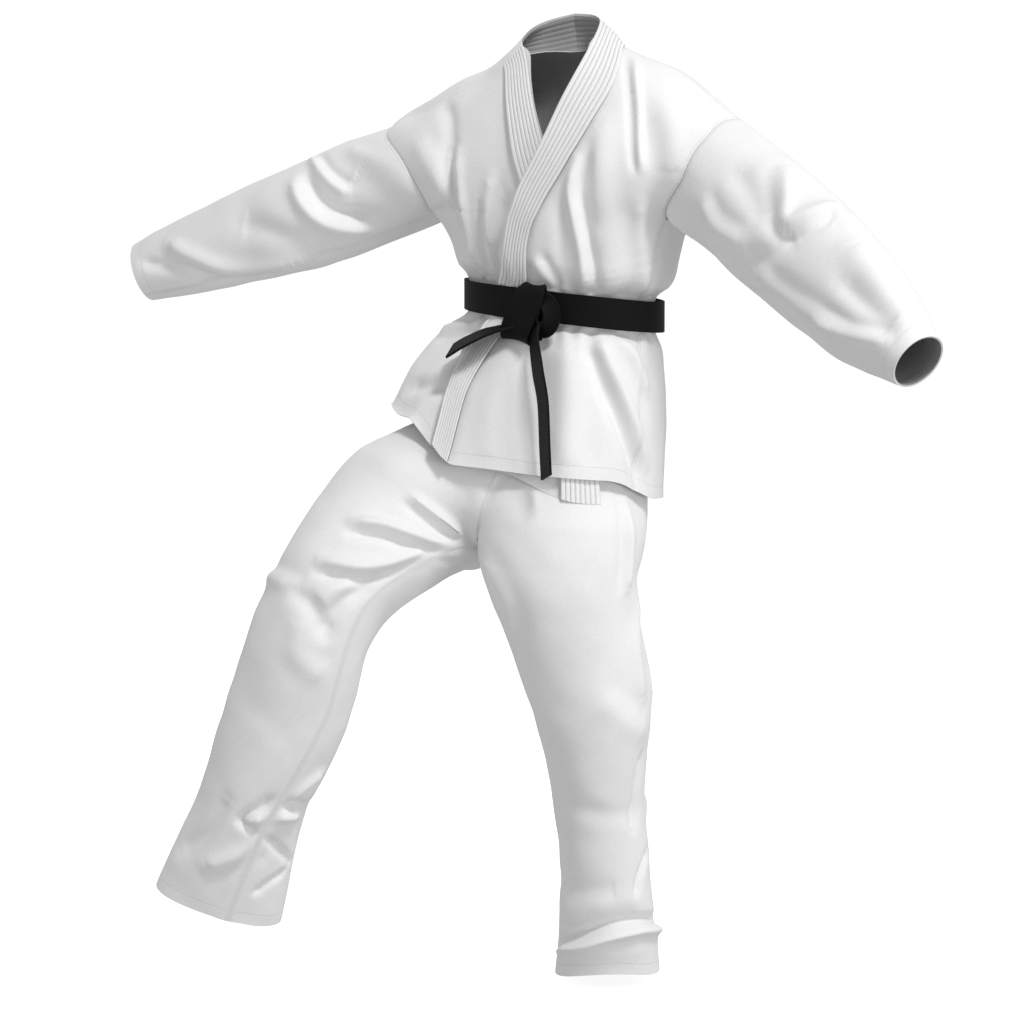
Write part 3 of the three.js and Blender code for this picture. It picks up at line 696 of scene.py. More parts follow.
def side_strip(sign):
    """The strip under the arm, from 75 degrees in front to 75 degrees behind, up to the armpit."""
    count = 41
    rows = PANEL_ROWS[PANEL_ROWS <= ARMPIT]
    s = np.linspace(-1, 1, count)
    v = rows[:, None] * np.ones(count)
    angle = sign * (90 - SIDE_PANEL * np.abs(s))[None, :] * np.ones((len(rows), 1))
    front = jacket_point(v, angle, 1)
    back = jacket_point(v, angle, -1)
    base = np.where((s < 0)[None, :, None], front, back)
    normal = normals_of(base) * sign
    level = above_belt(base)
    free = ease(np.abs(level), BELT_WIDTH / 2 - 2, BELT_WIDTH / 2 + 26)
    blouse = 7 * np.exp(-(((level - 48) / 22) ** 2))
    push = (fold_height(base, normal, JACKET_FOLDS) + ripple(base, 1.1) + blouse) * mix(0.12, 1, free)
    push = push + gathers(base)
    return base + normal * push[..., None]


def finish_panel(name, node, grid, seams, flip=False):
    grid = tuck(grid, seams, flip)
    marks = {"hem_mm": arc_lengths(grid, 0), "seam_mm": near_edges(grid, seams)}
    piece = shell(name, grid, CLOTH, material("cotton"), marks=marks, flip=flip)
    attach(piece, ROOT)
    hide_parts(node)


# ---------------------------------------------------------------------------- lapel

SMOOTHINGS = 500


def lapel_grid(sign, edge, sewn, lift, neck_stations):
    """The lapel band: up the front edge on the jacket's surface, then through stations round the neck, each
    a free and a sewn point, as a standing collar. A Hermite cubic joins the two lengths, and the rows near
    the join are then averaged with their neighbours again and again. Its rows of stitching lie between ribs
    across it, each a half sine to the power 0.35."""
    count, neck_rows = 65, 110
    s = np.linspace(0, 1, count)
    rows = np.unique(np.concatenate([np.linspace(0, 8.6, 330), np.linspace(2.4, 4.6, 60)]))
    x = mix(table(edge, rows)[:, None], table(sewn, rows)[:, None], s)
    v = rows[:, None] * np.ones(count)
    front = jacket_surface(v, angle_at(v, x), 1, lift, flip=sign < 0)
    if sign < 0:
        front = dip(front, v)
    stations = np.array(neck_stations, float)
    pairs = through(stations, np.linspace(0, len(stations) - 1, neck_rows))
    neck = mix(pairs[:, None, 0], pairs[:, None, 1], s[None, :, None])
    away = unit(np.cross(np.gradient(neck, axis=1), np.gradient(neck, axis=0))) * sign
    crown = 4 * np.sin(np.pi * s)[None, :] * ease(np.arange(neck_rows), 0, 60)[:, None]
    neck = neck + away * crown[..., None]
    f = np.linspace(0, 1, 24)[1:-1, None, None]
    a, b = front[-1], neck[0]
    gap = np.linalg.norm(b - a, axis=-1, keepdims=True)
    da, db = unit(front[-1] - front[-5]) * gap, unit(neck[3] - neck[0]) * gap
    bridge = ((2 * f**3 - 3 * f**2 + 1) * a + (f**3 - 2 * f**2 + f) * da
              + (-2 * f**3 + 3 * f**2) * b + (f**3 - f**2) * db)
    grid = np.concatenate([front, bridge, neck])
    rows_on = np.arange(len(grid))
    near = np.exp(-(((rows_on - len(front) - 8) / 42) ** 2))[1:-1, None, None]
    for _ in range(SMOOTHINGS):
        grid[1:-1] = mix(grid[1:-1], (grid[:-2] + 2 * grid[1:-1] + grid[2:]) / 4, near)
    ribs = np.abs(np.sin(np.pi * LAPEL_RIBS * s)) ** 0.35
    normal = normals_of(grid) * (1 if sign > 0 else -1)
    return grid + normal * (ribs * 1.3)[None, :, None]


# ---------------------------------------------------------------------------- limbs

def limb_frame(stations, across, s):
    """Centre, the two section directions and the two half widths at share s of a limb's length, and that
    length. The centre runs smoothly through the stations; the first direction is `across` with its part
    along the limb taken off."""
    stations = np.asarray(stations, float)
    fine = np.linspace(0, len(stations) - 1, 600)
    path = through(stations, fine)
    length = np.concatenate([[0], np.cumsum(np.linalg.norm(np.diff(path[:, :3], axis=0), axis=1))])
    t = np.interp(s * length[-1], length, fine)
    row = through(stations, t)
    ahead, behind = through(stations[:, :3], t + 0.02), through(stations[:, :3], t - 0.02)
    tangent = unit(ahead - behind)
    across = np.broadcast_to(np.asarray(across, float), tangent.shape)
    wide = unit(across - (across * tangent).sum(-1, keepdims=True) * tangent)
    deep = unit(np.cross(tangent, wide))
    return row[..., :3], wide, deep, row[..., 3:], length[-1]


# centre, and half width across and deep, from the shoulder to the wrist
SLEEVES = {
    "left": [(256, -2, -196, 82, 78), (318, -22, -240, 91, 80), (395, -50, -292, 91, 78),
             (470, -80, -344, 87, 72), (552, -117, -404, 73, 62), (627, -150, -458, 41, 40)],
    "right": [(-264, -2, -184, 80, 78), (-330, -26, -211, 84, 78), (-409, -58, -244, 82, 74),
              (-500, -74, -270, 73, 64), (-595, -90, -299, 62, 54), (-690, -105, -328, 47, 43)],
}
SLEEVE_FOLDS = {
    "left": [
        ([(327, -88, -197), (362, -105, -232), (385, -119, -266)], 18, -8, 0),
        ([(393, -71, -205), (412, -103, -240), (423, -121, -269), (447, -116, -268), (471, -93, -262),
          (488, -90, -272)], 13, 10, -0.6),
        ([(440, -130, -288), (402, -130, -309), (361, -108, -325)], 18, -8, 0),
        ([(275, -90, -234), (304, -96, -271), (352, -113, -295)], 13, 6, 0.4),
        ([(517, -128, -311), (574, -156, -365), (618, -173, -412)], 18, 7, -0.4),
        ([(519, -158, -351), (568, -170, -384), (605, -175, -408)], 15, -7, 0),
        ([(487, -151, -402), (540, -171, -422), (596, -184, -432)], 10, 7, 0.5),
        ([(379, -111, -340), (450, -137, -382), (523, -166, -416)], 13, 6, 0.4),
        ([(330, 60, -210), (380, 30, -260), (430, 10, -330)], 16, 7, 0.6),
        ([(430, -20, -270), (480, -30, -330), (520, -60, -400)], 15, 7, 0.6),
    ],
    "right": [
        ([(-389, -79, -163), (-358, -104, -182), (-334, -107, -201), (-313, -103, -212)], 9, 9, 0.6),
        ([(-399, -115, -198), (-375, -124, -233), (-343, -108, -259), (-290, -68, -265)], 12, 11, 0.7),
        ([(-382, -104, -183), (-352, -116, -219), (-316, -100, -242), (-284, -80, -247)], 9, -7, 0),
        ([(-618, -138, -287), (-572, -137, -305), (-502, -112, -321), (-384, -90, -305)], 13, 9, -0.4),
        ([(-485, -133, -259), (-431, -130, -269), (-355, -85, -294)], 21, -8, 0),
        ([(-306, -95, -181), (-271, -87, -207), (-242, -65, -228)], 21, -7, 0),
        ([(-666, -145, -314), (-599, -136, -324), (-551, -114, -334)], 10, -6, 0),
        ([(-321, -78, -150), (-278, -83, -166), (-245, -78, -187)], 13, 5, 0.3),
        ([(-330, 50, -180), (-380, 30, -220), (-430, 0, -290)], 16, 7, -0.6),
        ([(-450, 10, -220), (-500, -10, -280), (-560, -40, -320)], 15, 6, -0.6),
    ],
}
SLEEVE_SPLIT = 0.24
UNDERARM_SEAM = {"left": 1.0, "right": 1.19}


def armhole(side, turns):
    """The armhole's edge as the jacket panels leave it, read off by the angle round the sleeve's start."""
    low_points = 30
    sign = SIDES[side]
    up = np.linspace(ARMPIT, TOP, 240)
    v = np.stack([up, up + 1e-3], 1)

    def edge_line(face):
        edge = side_angle(up, side if face > 0 else "back")
        angle = np.stack([edge - 0.8, edge], 1) * sign
        vv = np.repeat(up[:, None], 2, 1)
        grid = jacket_surface(vv, angle, face, flip=(face * sign) < 0)
        return grid[:, 1]

    bottom_angle = np.linspace(90 - SIDE_PANEL, 90, low_points)
    low = np.full(low_points, float(ARMPIT))
    front_low = jacket_point(low, sign * bottom_angle, 1)
    back_low = jacket_point(low, sign * bottom_angle, -1)
    loop = np.concatenate([edge_line(1), edge_line(-1)[::-1], back_low[1:], front_low[::-1][1:-1]])
    centre, wide, deep, _, _ = limb_frame(SLEEVES[side], (0, 0, 1), np.array([0.0]))
    rel = loop - centre[0]
    angle = np.arctan2((rel * deep[0]).sum(-1), (rel * wide[0]).sum(-1)) % (2 * np.pi)
    order = np.argsort(angle)
    angle, loop = angle[order], loop[order]
    angle = np.concatenate([angle - 2 * np.pi, angle, angle + 2 * np.pi])
    loop = np.concatenate([loop, loop, loop])
    return np.stack([np.interp(turns, angle, loop[:, k]) for k in range(3)], -1)


def sleeve_surface(side):
    """A sleeve: oval rings along the arm, each the centre plus the half widths times cosine and sine, drawn
    out at the shoulder to the armhole's own edge."""
    cols, rows = 132, 230
    s = np.linspace(0, 1, rows)
    turns = np.linspace(0, 2 * np.pi, cols, endpoint=False)
    centre, wide, deep, size, length = limb_frame(SLEEVES[side], (0, 0, 1), s)
    ring = (centre[:, None] + wide[:, None] * (size[:, None, :1] * np.cos(turns)[None, :, None])
            + deep[:, None] * (size[:, None, 1:] * np.sin(turns)[None, :, None]))
    out = unit(ring - centre[:, None])
    mm = s * length
    near = 1 - ease(mm, 0, 95)
    start = armhole(side, turns)
    folds = fold_height(ring, out, SLEEVE_FOLDS[side]) + ripple(ring, 1.3)
    calm = ease(mm, 0, 70) * (1 - 0.7 * ease(mm, length - 30, length - 4))
    grid = ring + out * (folds * calm[:, None])[..., None]
    pull = grid + (start - ring[0])[None] * near[:, None, None]
    along = (np.arange(rows) * 0 + mm)[:, None] * np.ones(cols)
    hem = (length - mm)[:, None] * np.ones(cols)
    seam_at = np.pi * UNDERARM_SEAM[side]
    round_mm = np.abs((turns - seam_at + np.pi) % (2 * np.pi) - np.pi) * size.mean(1)[:, None]
    groove = 0.5 * (1 - ease(round_mm, 0, 3)) + 0.5 * (1 - ease(along, 0, 3))
    pull = pull - out * groove[..., None]
    marks = {"hem_mm": hem, "seam_mm": np.minimum(round_mm, along)}
    hem_thick = mix(CLOTH, 3.0, 1 - ease(hem, 17, 19))
    return pull, marks, hem_thick


def bend_span(way, before, after):
    """Where a bend starts and stops, as two points on a line along `way` in metres: the first is past every
    point of `before`, and the second is short of every point of `after`, so neither of them is torn."""
    way = unit(np.asarray(way, float))
    return way * (before @ way).max() * MM, way * (after @ way).min() * MM


def make_sleeve(side):
    """One sleeve in two pieces, cut across at a share of its length."""
    grid, marks, thick = sleeve_surface(side)
    orient = normals_of(grid, True)
    centre = grid.mean(1, keepdims=True)
    flip = ((grid - centre) * orient).sum() < 0
    split = int(SLEEVE_SPLIT * len(grid))
    mid = grid.mean(1)
    elbow_at = np.array(joint(f"{side}_elbow_bend")["pos_m"]) / MM
    seam = grid[split - 1:split + 2].reshape(-1, 3)
    top_start, top_stop = bend_span(mid[split] - mid[0], grid[0], seam)
    way = elbow_at - mid[split]
    lower_start, lower_stop = bend_span(way, seam, 2 * elbow_at - seam)
    parts = (
        ("top", slice(0, split + 1), (ROOT, f"{side}_upper_sleeve"), top_start, top_stop,
         [f"sleeve_head_{side}", f"upper_sleeve_{side}"]),
        ("lower", slice(split, None), (f"{side}_upper_sleeve", f"{side}_lower_sleeve"),
         lower_start, lower_stop, [f"elbow_{side}", f"lower_sleeve_{side}", f"cuff_hem_{side}"]),
    )
    for label, rows, bodies, start, stop, nodes in parts:
        part = {k: m[rows] for k, m in marks.items()}
        piece = shell(f"sleeve_{label}_{side}", grid[rows], thick[rows], material("cotton"), ring=True,
                      marks=part, flip=flip, shade=(-orient if flip else orient)[rows])
        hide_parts(*nodes)
        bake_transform(piece)


# ---------------------------------------------------------------------------- trousers

# centre, and half width across and deep, from the hip to the hem
LEGS = {
    "left": [(82, -8, -600, 80, 92), (60, -48, -700, 98, 101), (52, -70, -790, 102, 104),
             (74, -40, -965, 88, 88), (66, 0, -1130, 67, 76), (64, 26, -1265, 70, 76),
             (56, 45, -1384, 79, 72)],
    "right": [(-92, -18, -590, 78, 86), (-148, -86, -640, 100, 110), (-208, -154, -686, 106, 116),
              (-266, -250, -831, 88, 90), (-322, -252, -978, 91, 84), (-392, -253, -1130, 82, 76),
              (-450, -250, -1280, 98, 62)],
}
# points of the front and back middle seams, from the waist to the crotch
FRONT_RISE = [(0, -84, -392), (0, -108, -490), (-12, -148, -580), (-29, -166, -640), (-52, -155, -705),
              (-72, -118, -738)]
BACK_RISE = [(0, 80, -392), (0, 104, -490), (-8, 106, -590), (-35, 62, -682), (-60, -30, -732),
             (-72, -118, -738)]
# height, half width, and half depth in front and behind, from the waist down
HIP = [(-392, 129, 84, 80), (-470, 142, 100, 96), (-560, 172, 126, 106), (-640, 190, 150, 104),
       (-740, 196, 160, 96)]
LEG_FOLDS = {
    "left": [
        ([(7, -16, -1351), (88, -36, -1318), (130, 3, -1307), (125, 72, -1320)], 9, 13, 1.0),
        ([(14, -22, -1326), (90, -41, -1294), (131, 0, -1285)], 18, -7, 0),
        ([(152, -27, -1040), (142, -22, -1093), (133, -18, -1155)], 9, -6, 0),
        ([(131, 24, -1191), (134, 0, -1224), (131, -7, -1252)], 7, -7, 0),
        ([(-20, -142, -752), (7, -161, -806), (-2, -138, -867)], 15, 5, 0.3),
        ([(155, -69, -649), (155, -75, -722), (154, -83, -791)], 10, 7, -0.6),
        ([(126, -117, -949), (149, -84, -981), (158, -38, -1003)], 21, 5, 0.3),
        ([(44, -77, -1107), (106, -70, -1124), (136, -11, -1128)], 18, -4, 0),
        ([(4, -11, -1244), (81, -52, -1246), (115, -35, -1242)], 18, -4, 0),
        ([(152, -44, -810), (160, -59, -880), (162, -49, -954)], 13, 5, 0.3),
        ([(20, 70, -900), (80, 60, -930), (150, 30, -950)], 15, 6, 0.6),
        ([(10, 60, -1120), (70, 78, -1100), (130, 50, -1130)], 13, 6, 0.6),
    ],
    "right": [
        ([(-198, -266, -698), (-160, -246, -701), (-131, -219, -713), (-104, -147, -736)], 9, 12, -0.9),
        ([(-227, -306, -753), (-177, -279, -759), (-142, -235, -750), (-121, -197, -737)], 10, 12, -0.9),
        ([(-266, -325, -788), (-227, -326, -815), (-213, -316, -856)], 13, -8, 0),
        ([(-163, -262, -787), (-188, -295, -802), (-202, -310, -827), (-213, -316, -856)], 12, -8, 0),
        ([(-183, -288, -774), (-204, -308, -791), (-220, -321, -807)], 13, 6, 0.3),
        ([(-133, -209, -659), (-104, -183, -688), (-91, -146, -715)], 9, 9, -0.8),
        ([(-244, -334, -830), (-247, -334, -882), (-226, -303, -918)], 18, 5, 0.3),
        ([(-326, -286, -781), (-287, -318, -781), (-247, -327, -794)], 13, 6, 0.4),
        ([(-341, -318, -1121), (-359, -322, -1137), (-344, -307, -1156), (-331, -274, -1179),
          (-337, -226, -1213)], 7, -10, 0),
        ([(-308, -248, -1135), (-320, -292, -1133), (-344, -314, -1137)], 10, 10, -0.6),
        ([(-315, -213, -1127), (-306, -288, -1109), (-328, -313, -1111)], 10, -9, 0),
        ([(-377, -332, -1105), (-416, -329, -1155), (-467, -322, -1192)], 13, -6, 0),
        ([(-340, -234, -1225), (-350, -261, -1239), (-366, -276, -1254)], 7, -8, 0),
        ([(-347, -300, -1176), (-369, -310, -1190), (-421, -324, -1211)], 13, 8, 0.4),
        ([(-279, -242, -1066), (-292, -270, -1092), (-304, -275, -1116)], 10, 8, 0.5),
        ([(-250, -170, -860), (-300, -170, -880), (-350, -200, -900)], 14, 7, 0.6),
    ],
}
# how far the inseam winds round the leg, in radians, at four even steps down it
INSEAM_TURN = {"left": (0, 0, -0.3, -0.4), "right": (0, 0.15, 0.42, 0.85)}
LEG_SPLIT = 0.46
CROTCH_DROP = 0.335
WAIST_DROP = 0.13
# the way from the hip's bend to the thigh's, square to the crease that a swinging leg makes
HIP_WAY = {"left": (0.21, 0.05, -0.98), "right": (-0.59, -0.61, -0.53)}


def inside_skirt(grid, gap=15.0):
    """Draws points above the skirt's hem in, towards the upright axis, until each is `gap` inside the
    jacket's oval at its height, by 1 / (1 + (out / limit)^14)^(1/14), fading out over 75 mm below the hem."""
    x, y, z = np.moveaxis(grid, -1, 0)
    probe = np.linspace(0, 3.5, 60)
    lift = hem_shift(x, y, 0 * x)
    hem = LEVELS[0, 0] - 0.11 * x + lift
    height = np.maximum(z, hem) + 0.11 * x - lift * 0.5
    level = np.interp(height, jacket_level(probe)[:, 0], probe)
    row = jacket_level(level)
    wide = np.where(x < 0, row[..., 2], row[..., 3])
    deep = np.where(y < 0, row[..., 4] + row[..., 8] * ease(-x / wide, -0.1, 0.6), row[..., 5])
    power = row[..., 7]
    out = ((np.abs(x) / wide) ** (2 / power) + (np.abs(y) / deep) ** (2 / power)) ** (power / 2)
    limit = 1 - gap / np.minimum(wide, deep)
    pull = (1 + (out / limit) ** 14) ** (-1 / 14)
    pull = mix(1, pull, ease(z, hem - 75, hem + 10))
    return np.stack([x * pull, y * pull, z], -1)


def leg_surface(side):
    """Half of the trousers, cut as one panel. Each row runs from the middle of the front round the outside
    to the middle of the back; below the crotch it goes on right round the leg, and its two edges meet in the
    inseam. The hip's oval and the leg's ring are mixed as the rows come down, and the two edges are then
    drawn to the front and back rises."""
    sign = SIDES[side]
    rows, cols = 330, 150
    t = np.linspace(0, 1, cols)
    drop = np.linspace(0, 1, rows)
    leg_share = np.clip((drop - WAIST_DROP) / (1 - WAIST_DROP), 0, 1)
    centre, wide, deep, size, _ = limb_frame(LEGS[side], (0.87, 0.5, 0), leg_share)
    inner_dir = np.stack([-sign * np.ones(rows), 0.0 * drop, 0.0 * drop], -1)
    a0 = np.arctan2((inner_dir * deep).sum(-1), (inner_dir * wide).sum(-1))
    front_dir = np.array([0.0, -1, 0])
    a1 = np.arctan2((front_dir * deep).sum(-1), (front_dir * wide).sum(-1))
    sense = np.sign(np.sin(a1 - a0))
    twist = through(INSEAM_TURN[side], drop * 3)
    angle = (a0 + sense * twist)[:, None] + sense[:, None] * 2 * np.pi * t[None, :]
    ring = (centre[:, None] + wide[:, None] * (size[:, None, :1] * np.cos(angle)[..., None])
            + deep[:, None] * (size[:, None, 1:] * np.sin(angle)[..., None]))
    up = np.clip(drop / CROTCH_DROP, 0, 1)
    hip_rows = through(HIP, up * (len(HIP) - 1))
    turn = np.pi * t[None, :]
    hz, ha, hf, hb = (hip_rows[:, k, None] for k in range(4))
    depth = np.where(np.cos(turn) > 0, hf, hb)
    x = sign * ha * np.sin(turn)
    hip = np.stack([x, -depth * np.cos(turn), hz + BELT_TILT * sign * ha * np.sin(turn)], -1)
    w = ease(drop, 0.06, 0.26)[:, None, None]
    grid = mix(hip, ring, w)
    front = through(FRONT_RISE, up * (len(FRONT_RISE) - 1))
    back = through(BACK_RISE, up * (len(BACK_RISE) - 1))
    above = (1 - ease(drop, CROTCH_DROP, CROTCH_DROP + 0.16))[:, None, None]
    pull_front = (front - grid[:, 0])[:, None] * ((1 - t) ** 5)[None, :, None] * above
    pull_back = (back - grid[:, -1])[:, None] * (t ** 5)[None, :, None] * above
    grid = grid + pull_front + pull_back
    normal = normals_of(grid)
    outward = np.sign((normal * (grid - grid.mean(1, keepdims=True))).sum())
    normal = normal * outward
    folds = fold_height(grid, normal, LEG_FOLDS[side]) + ripple(grid, 1.5)
    edge = np.minimum(t, 1 - t)[None, :] * np.ones((rows, 1))
    calm = ease(edge, 0, 0.05) * mix(0.25, 1, ease(drop, 0.08, 0.2))[:, None]
    grid = grid + normal * (folds * calm)[..., None]
    if side == "left":
        facing = ((grid - centre[:, None]) @ np.array([0.5, -0.87, 0])) / 80
        arch = 26 * np.clip(facing, 0, 1) ** 2 * ease(drop, 0.93, 1)[:, None]
        grid = grid + np.stack([0 * arch, 0 * arch, arch], -1)
    grid = inside_skirt(grid)
    length_mm = arc_lengths(grid, 0)
    cross = arc_lengths(grid, 1)
    near = np.minimum(cross, cross[:, -1:] - cross)
    grid = grid - normal * (0.5 * (1 - ease(near, 0, 3)))[..., None]
    hem = length_mm[-1:] - length_mm
    marks = {"hem_mm": hem, "seam_mm": near}
    thick = mix(CLOTH, 3.2, 1 - ease(hem, 17, 19))
    return grid, marks, thick, outward < 0, centre


def make_leg(side):
    """One half of the trousers in two pieces, cut across at a share of its length."""
    grid, marks, thick, flip, centre = leg_surface(side)
    split = int(LEG_SPLIT * len(grid))
    shade = normals_of(grid) * (-1 if flip else 1)
    upper_nodes = [f"trouser_hip_{side}", f"thigh_{side}"]
    if side == "left":
        upper_nodes += ["trouser_seat_front", "crotch_gusset"]
    else:
        upper_nodes += ["trouser_seat_back"]
    knee_at = np.array(joint(f"{side}_knee_bend")["pos_m"]) / MM
    crotch = int(CROTCH_DROP * len(grid)) + 1
    rise = np.concatenate([grid[:crotch, 0], grid[:crotch, -1]])
    seam = grid[split - 1:split + 2].reshape(-1, 3)
    upper_start, upper_stop = bend_span(HIP_WAY[side], rise, seam)
    lower_start, lower_stop = bend_span(knee_at - centre[split], seam, 2 * knee_at - seam)
    parts = (
        ("upper", slice(0, split + 1), (ROOT, f"{side}_thigh"), upper_start, upper_stop, upper_nodes),
        ("lower", slice(split, None), (f"{side}_thigh", f"{side}_shin"), lower_start, lower_stop,
         [f"knee_{side}", f"shin_{side}", f"trouser_hem_{side}"]),
    )
    for label, rows, bodies, start, stop, nodes in parts:
        part = {k: m[rows] for k, m in marks.items()}
        piece = shell(f"trouser_{label}_{side}", grid[rows], thick[rows], material("cotton"), marks=part,
                      flip=flip, shade=shade[rows])
        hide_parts(*nodes)
        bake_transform(piece)


# ---------------------------------------------------------------------------- belt

BELT_INSIDE = LAPEL_THICK + 2 * LAYER
BELT_THICK = 2.6
KNOT_THICK = 3.0
END_THICK = 3.4
BELT_RIBS = 10
RIB_HEIGHT = 0.35


def belt_ring(outset, phase):
    """One turn of the belt: the waist's oval set out, with ribs between its stitching and a slight wave."""
    cols, rows = 300, 41
    turn = np.linspace(0, 2 * np.pi, cols, endpoint=False)
    h = np.linspace(-0.5, 0.5, rows)[:, None]
    x = 4 + (WAIST[0] - 3 + outset) * np.sin(turn)
    depth = np.where(np.cos(turn) > 0, WAIST[2], WAIST[3]) + outset
    y = -depth * np.cos(turn)
    z = BELT_HEIGHT + BELT_TILT * x + 0.7 * np.sin(3 * turn + phase)
    flat = (np.broadcast_to(x, (rows, cols)), np.broadcast_to(y, (rows, cols)))
    grid = np.stack([*flat, z + h * BELT_WIDTH], -1)
    ribs = RIB_HEIGHT * np.abs(np.sin(np.pi * BELT_RIBS * (h + 0.5))) ** 0.5
    return grid + normals_of(grid, True) * ribs[..., None]


def ribbon(path, across, width, rows=90, bow=0.0):
    """A flat strap: a smooth line of centre points, each with its own width and direction of width, ribbed
    along its length and bowed across by `bow`."""
    k = len(path) - 1
    t = np.linspace(0, k, rows)
    centre = through(path, t)
    tangent = unit(np.gradient(centre, axis=0))
    wide = through(across, t)
    wide = unit(wide - (wide * tangent).sum(-1, keepdims=True) * tangent)
    size = through(np.atleast_1d(width) * np.ones(k + 1), t)
    s = np.linspace(-0.5, 0.5, 31)
    grid = centre[:, None] + wide[:, None] * (size[:, None, None] * s[None, :, None])
    normal = unit(np.cross(wide, tangent))[:, None]
    lift = RIB_HEIGHT * np.abs(np.sin(np.pi * BELT_RIBS * (s + 0.5))) ** 0.5 + bow * (1 - 4 * s**2)
    return grid + normal * lift[None, :, None]


def belt_piece(name, grid, body, nodes, ring=False, thick=BELT_THICK, flip=False):
    """A length of belt that rides on its body and stands for its nodes."""
    piece = shell(name, grid, thick, material("belt"), ring=ring, marks=no_stitches(grid), flip=flip)
    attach(piece, body)
    if nodes:
        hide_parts(*nodes)


# ---------------------------------------------------------------------------- settings and operators

class UNIFORM_PG_look(bpy.types.PropertyGroup):
    """Colours of the uniform."""
    cotton_colour: bpy.props.FloatVectorProperty(
        name="Cotton", description="Colour of the jacket and trousers", subtype="COLOR", size=3,
        default=(0.87, 0.87, 0.867))
    belt_colour: bpy.props.FloatVectorProperty(
        name="Belt", description="Colour of the belt", subtype="COLOR", size=3,
        default=(0.0035, 0.0035, 0.004))


class UNIFORM_OT_stage(bpy.types.Operator):
    """Camera, studio lights and pale floor"""
    bl_idname = "uniform.stage"
    bl_label = "Stage"

    def execute(self, context):
        scene = context.scene
        cam_data = bpy.data.cameras.new("Camera")
        cam_data.lens = 100
        cam_data.sensor_width = 36
        cam = bpy.data.objects.new("Camera", cam_data)
        scene.collection.objects.link(cam)
        target = Vector((-0.040, -0.078, -0.686))
        azimuth, elevation, distance = np.radians(30.0), np.radians(4.0), 4.2
        level = np.cos(elevation)
        back = Vector((np.sin(azimuth) * level, -np.cos(azimuth) * level, np.sin(elevation)))
        cam.location = target + back * distance
        cam.rotation_euler = back.to_track_quat("Z", "Y").to_euler()
        scene.camera = cam
        world = bpy.data.worlds.new("Studio")
        scene.world = world
        world.use_nodes = True
        world.node_tree.nodes["Background"].inputs[0].default_value = (1, 1, 1, 1)
        seen = world.node_tree.nodes.new("ShaderNodeLightPath").outputs["Is Camera Ray"]
        strength = maths(world.node_tree, "MULTIPLY_ADD", seen, 0.6, 0.48)
        world.node_tree.links.new(strength, world.node_tree.nodes["Background"].inputs[1])
        scene.view_settings.view_transform = "Standard"
        for name, place, size, power in (
                ("Key", (3.1, -1.94, 3.77), 1.0, 172), ("Low", (3.4, -1.0, -1.0), 1.3, 40),
                ("Back", (-1.8, 2.6, 1.8), 1.6, 22), ("Fill", (-2.2, -2.6, -1.4), 1.3, 14)):
            data = bpy.data.lights.new(name, "AREA")
            data.size = size
            data.energy = power
            lamp = bpy.data.objects.new(name, data)
            lamp.location = place
            lamp.rotation_euler = (Vector(place) - Vector((0, 0, -0.6))).to_track_quat("Z", "Y").to_euler()
            scene.collection.objects.link(lamp)
        low, half = CAD_BOX[0][2] - 0.004, 14
        x, y = np.meshgrid(np.linspace(-half, half, 3), np.linspace(-half, half, 3))
        grid = np.stack([x, y, low + 0 * x], -1)
        floor = shell("floor", grid / MM, 1.0, self.floor_material())
        floor.visible_diffuse = False
        floor.visible_glossy = False
        return {"FINISHED"}

    @staticmethod
    def floor_material():
        """Plain matte near-white, faintly lit from within so that it stays pale."""
        mat = bpy.data.materials.new("Pale Floor")
        mat.use_nodes = True
        inputs = mat.node_tree.nodes["Principled BSDF"].inputs
        inputs["Base Color"].default_value = (0.93, 0.93, 0.93, 1)
        inputs["Roughness"].default_value = 0.95
        inputs["Emission Color"].default_value = (1, 1, 1, 1)
        inputs["Emission Strength"].default_value = 0.8
        return mat


class UNIFORM_OT_jacket(bpy.types.Operator):
    """Front, back and side panels of the jacket"""
    bl_idname = "uniform.jacket"
    bl_label = "Jacket panels"

    def execute(self, context):
        finish_panel("jacket_front_left_cloth", "jacket_front_left", left_front(), (False, True))
        finish_panel("jacket_front_right_cloth", "jacket_front_right", right_front(), (True, False))
        for side, sign in SIDES.items():
            for node, grid, flip in (("jacket_back", back_half(sign), sign > 0),
                                     ("side_panel", side_strip(sign), sign < 0)):
                finish_panel(f"{node}_{side}_cloth", f"{node}_{side}", grid, (True, True), flip)
        return {"FINISHED"}


class UNIFORM_OT_lapels(bpy.types.Operator):
    """The ribbed lapel band, in two halves that meet at the nape"""
    bl_idname = "uniform.lapels"
    bl_label = "Lapels"

    def execute(self, context):
        for side, sign, edge, sewn, lift, neck in (
                ("left", 1, LEFT_EDGE, LEFT_SEWN, LAYER + LAPEL_THICK, NECK_LEFT),
                ("right", -1, RIGHT_EDGE, RIGHT_SEWN, LAYER + LAPEL_THICK - UNDER, NECK_RIGHT)):
            grid = lapel_grid(sign, edge, sewn, lift, neck)
            cross = arc_lengths(grid, 1)
            rib = cross / cross[:, -1:] * LAPEL_RIBS
            # The stitch rows between the ribs, which the lapel material draws as lines of painted groove
            # shade.
            marks = no_stitches(grid) | {"seam_mm": np.abs(rib - np.round(rib)) * RIB_WIDTH}
            piece = shell(f"lapel_{side}_band", grid, LAPEL_THICK, material("lapel"), marks=marks,
                          flip=sign < 0)
            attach(piece, ROOT)
            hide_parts(f"lapel_{side}")
        return {"FINISHED"}


class UNIFORM_OT_sleeves(bpy.types.Operator):
    """Both sleeves"""
    bl_idname = "uniform.sleeves"
    bl_label = "Sleeves"

    def execute(self, context):
        for side in SIDES:
            make_sleeve(side)
        return {"FINISHED"}


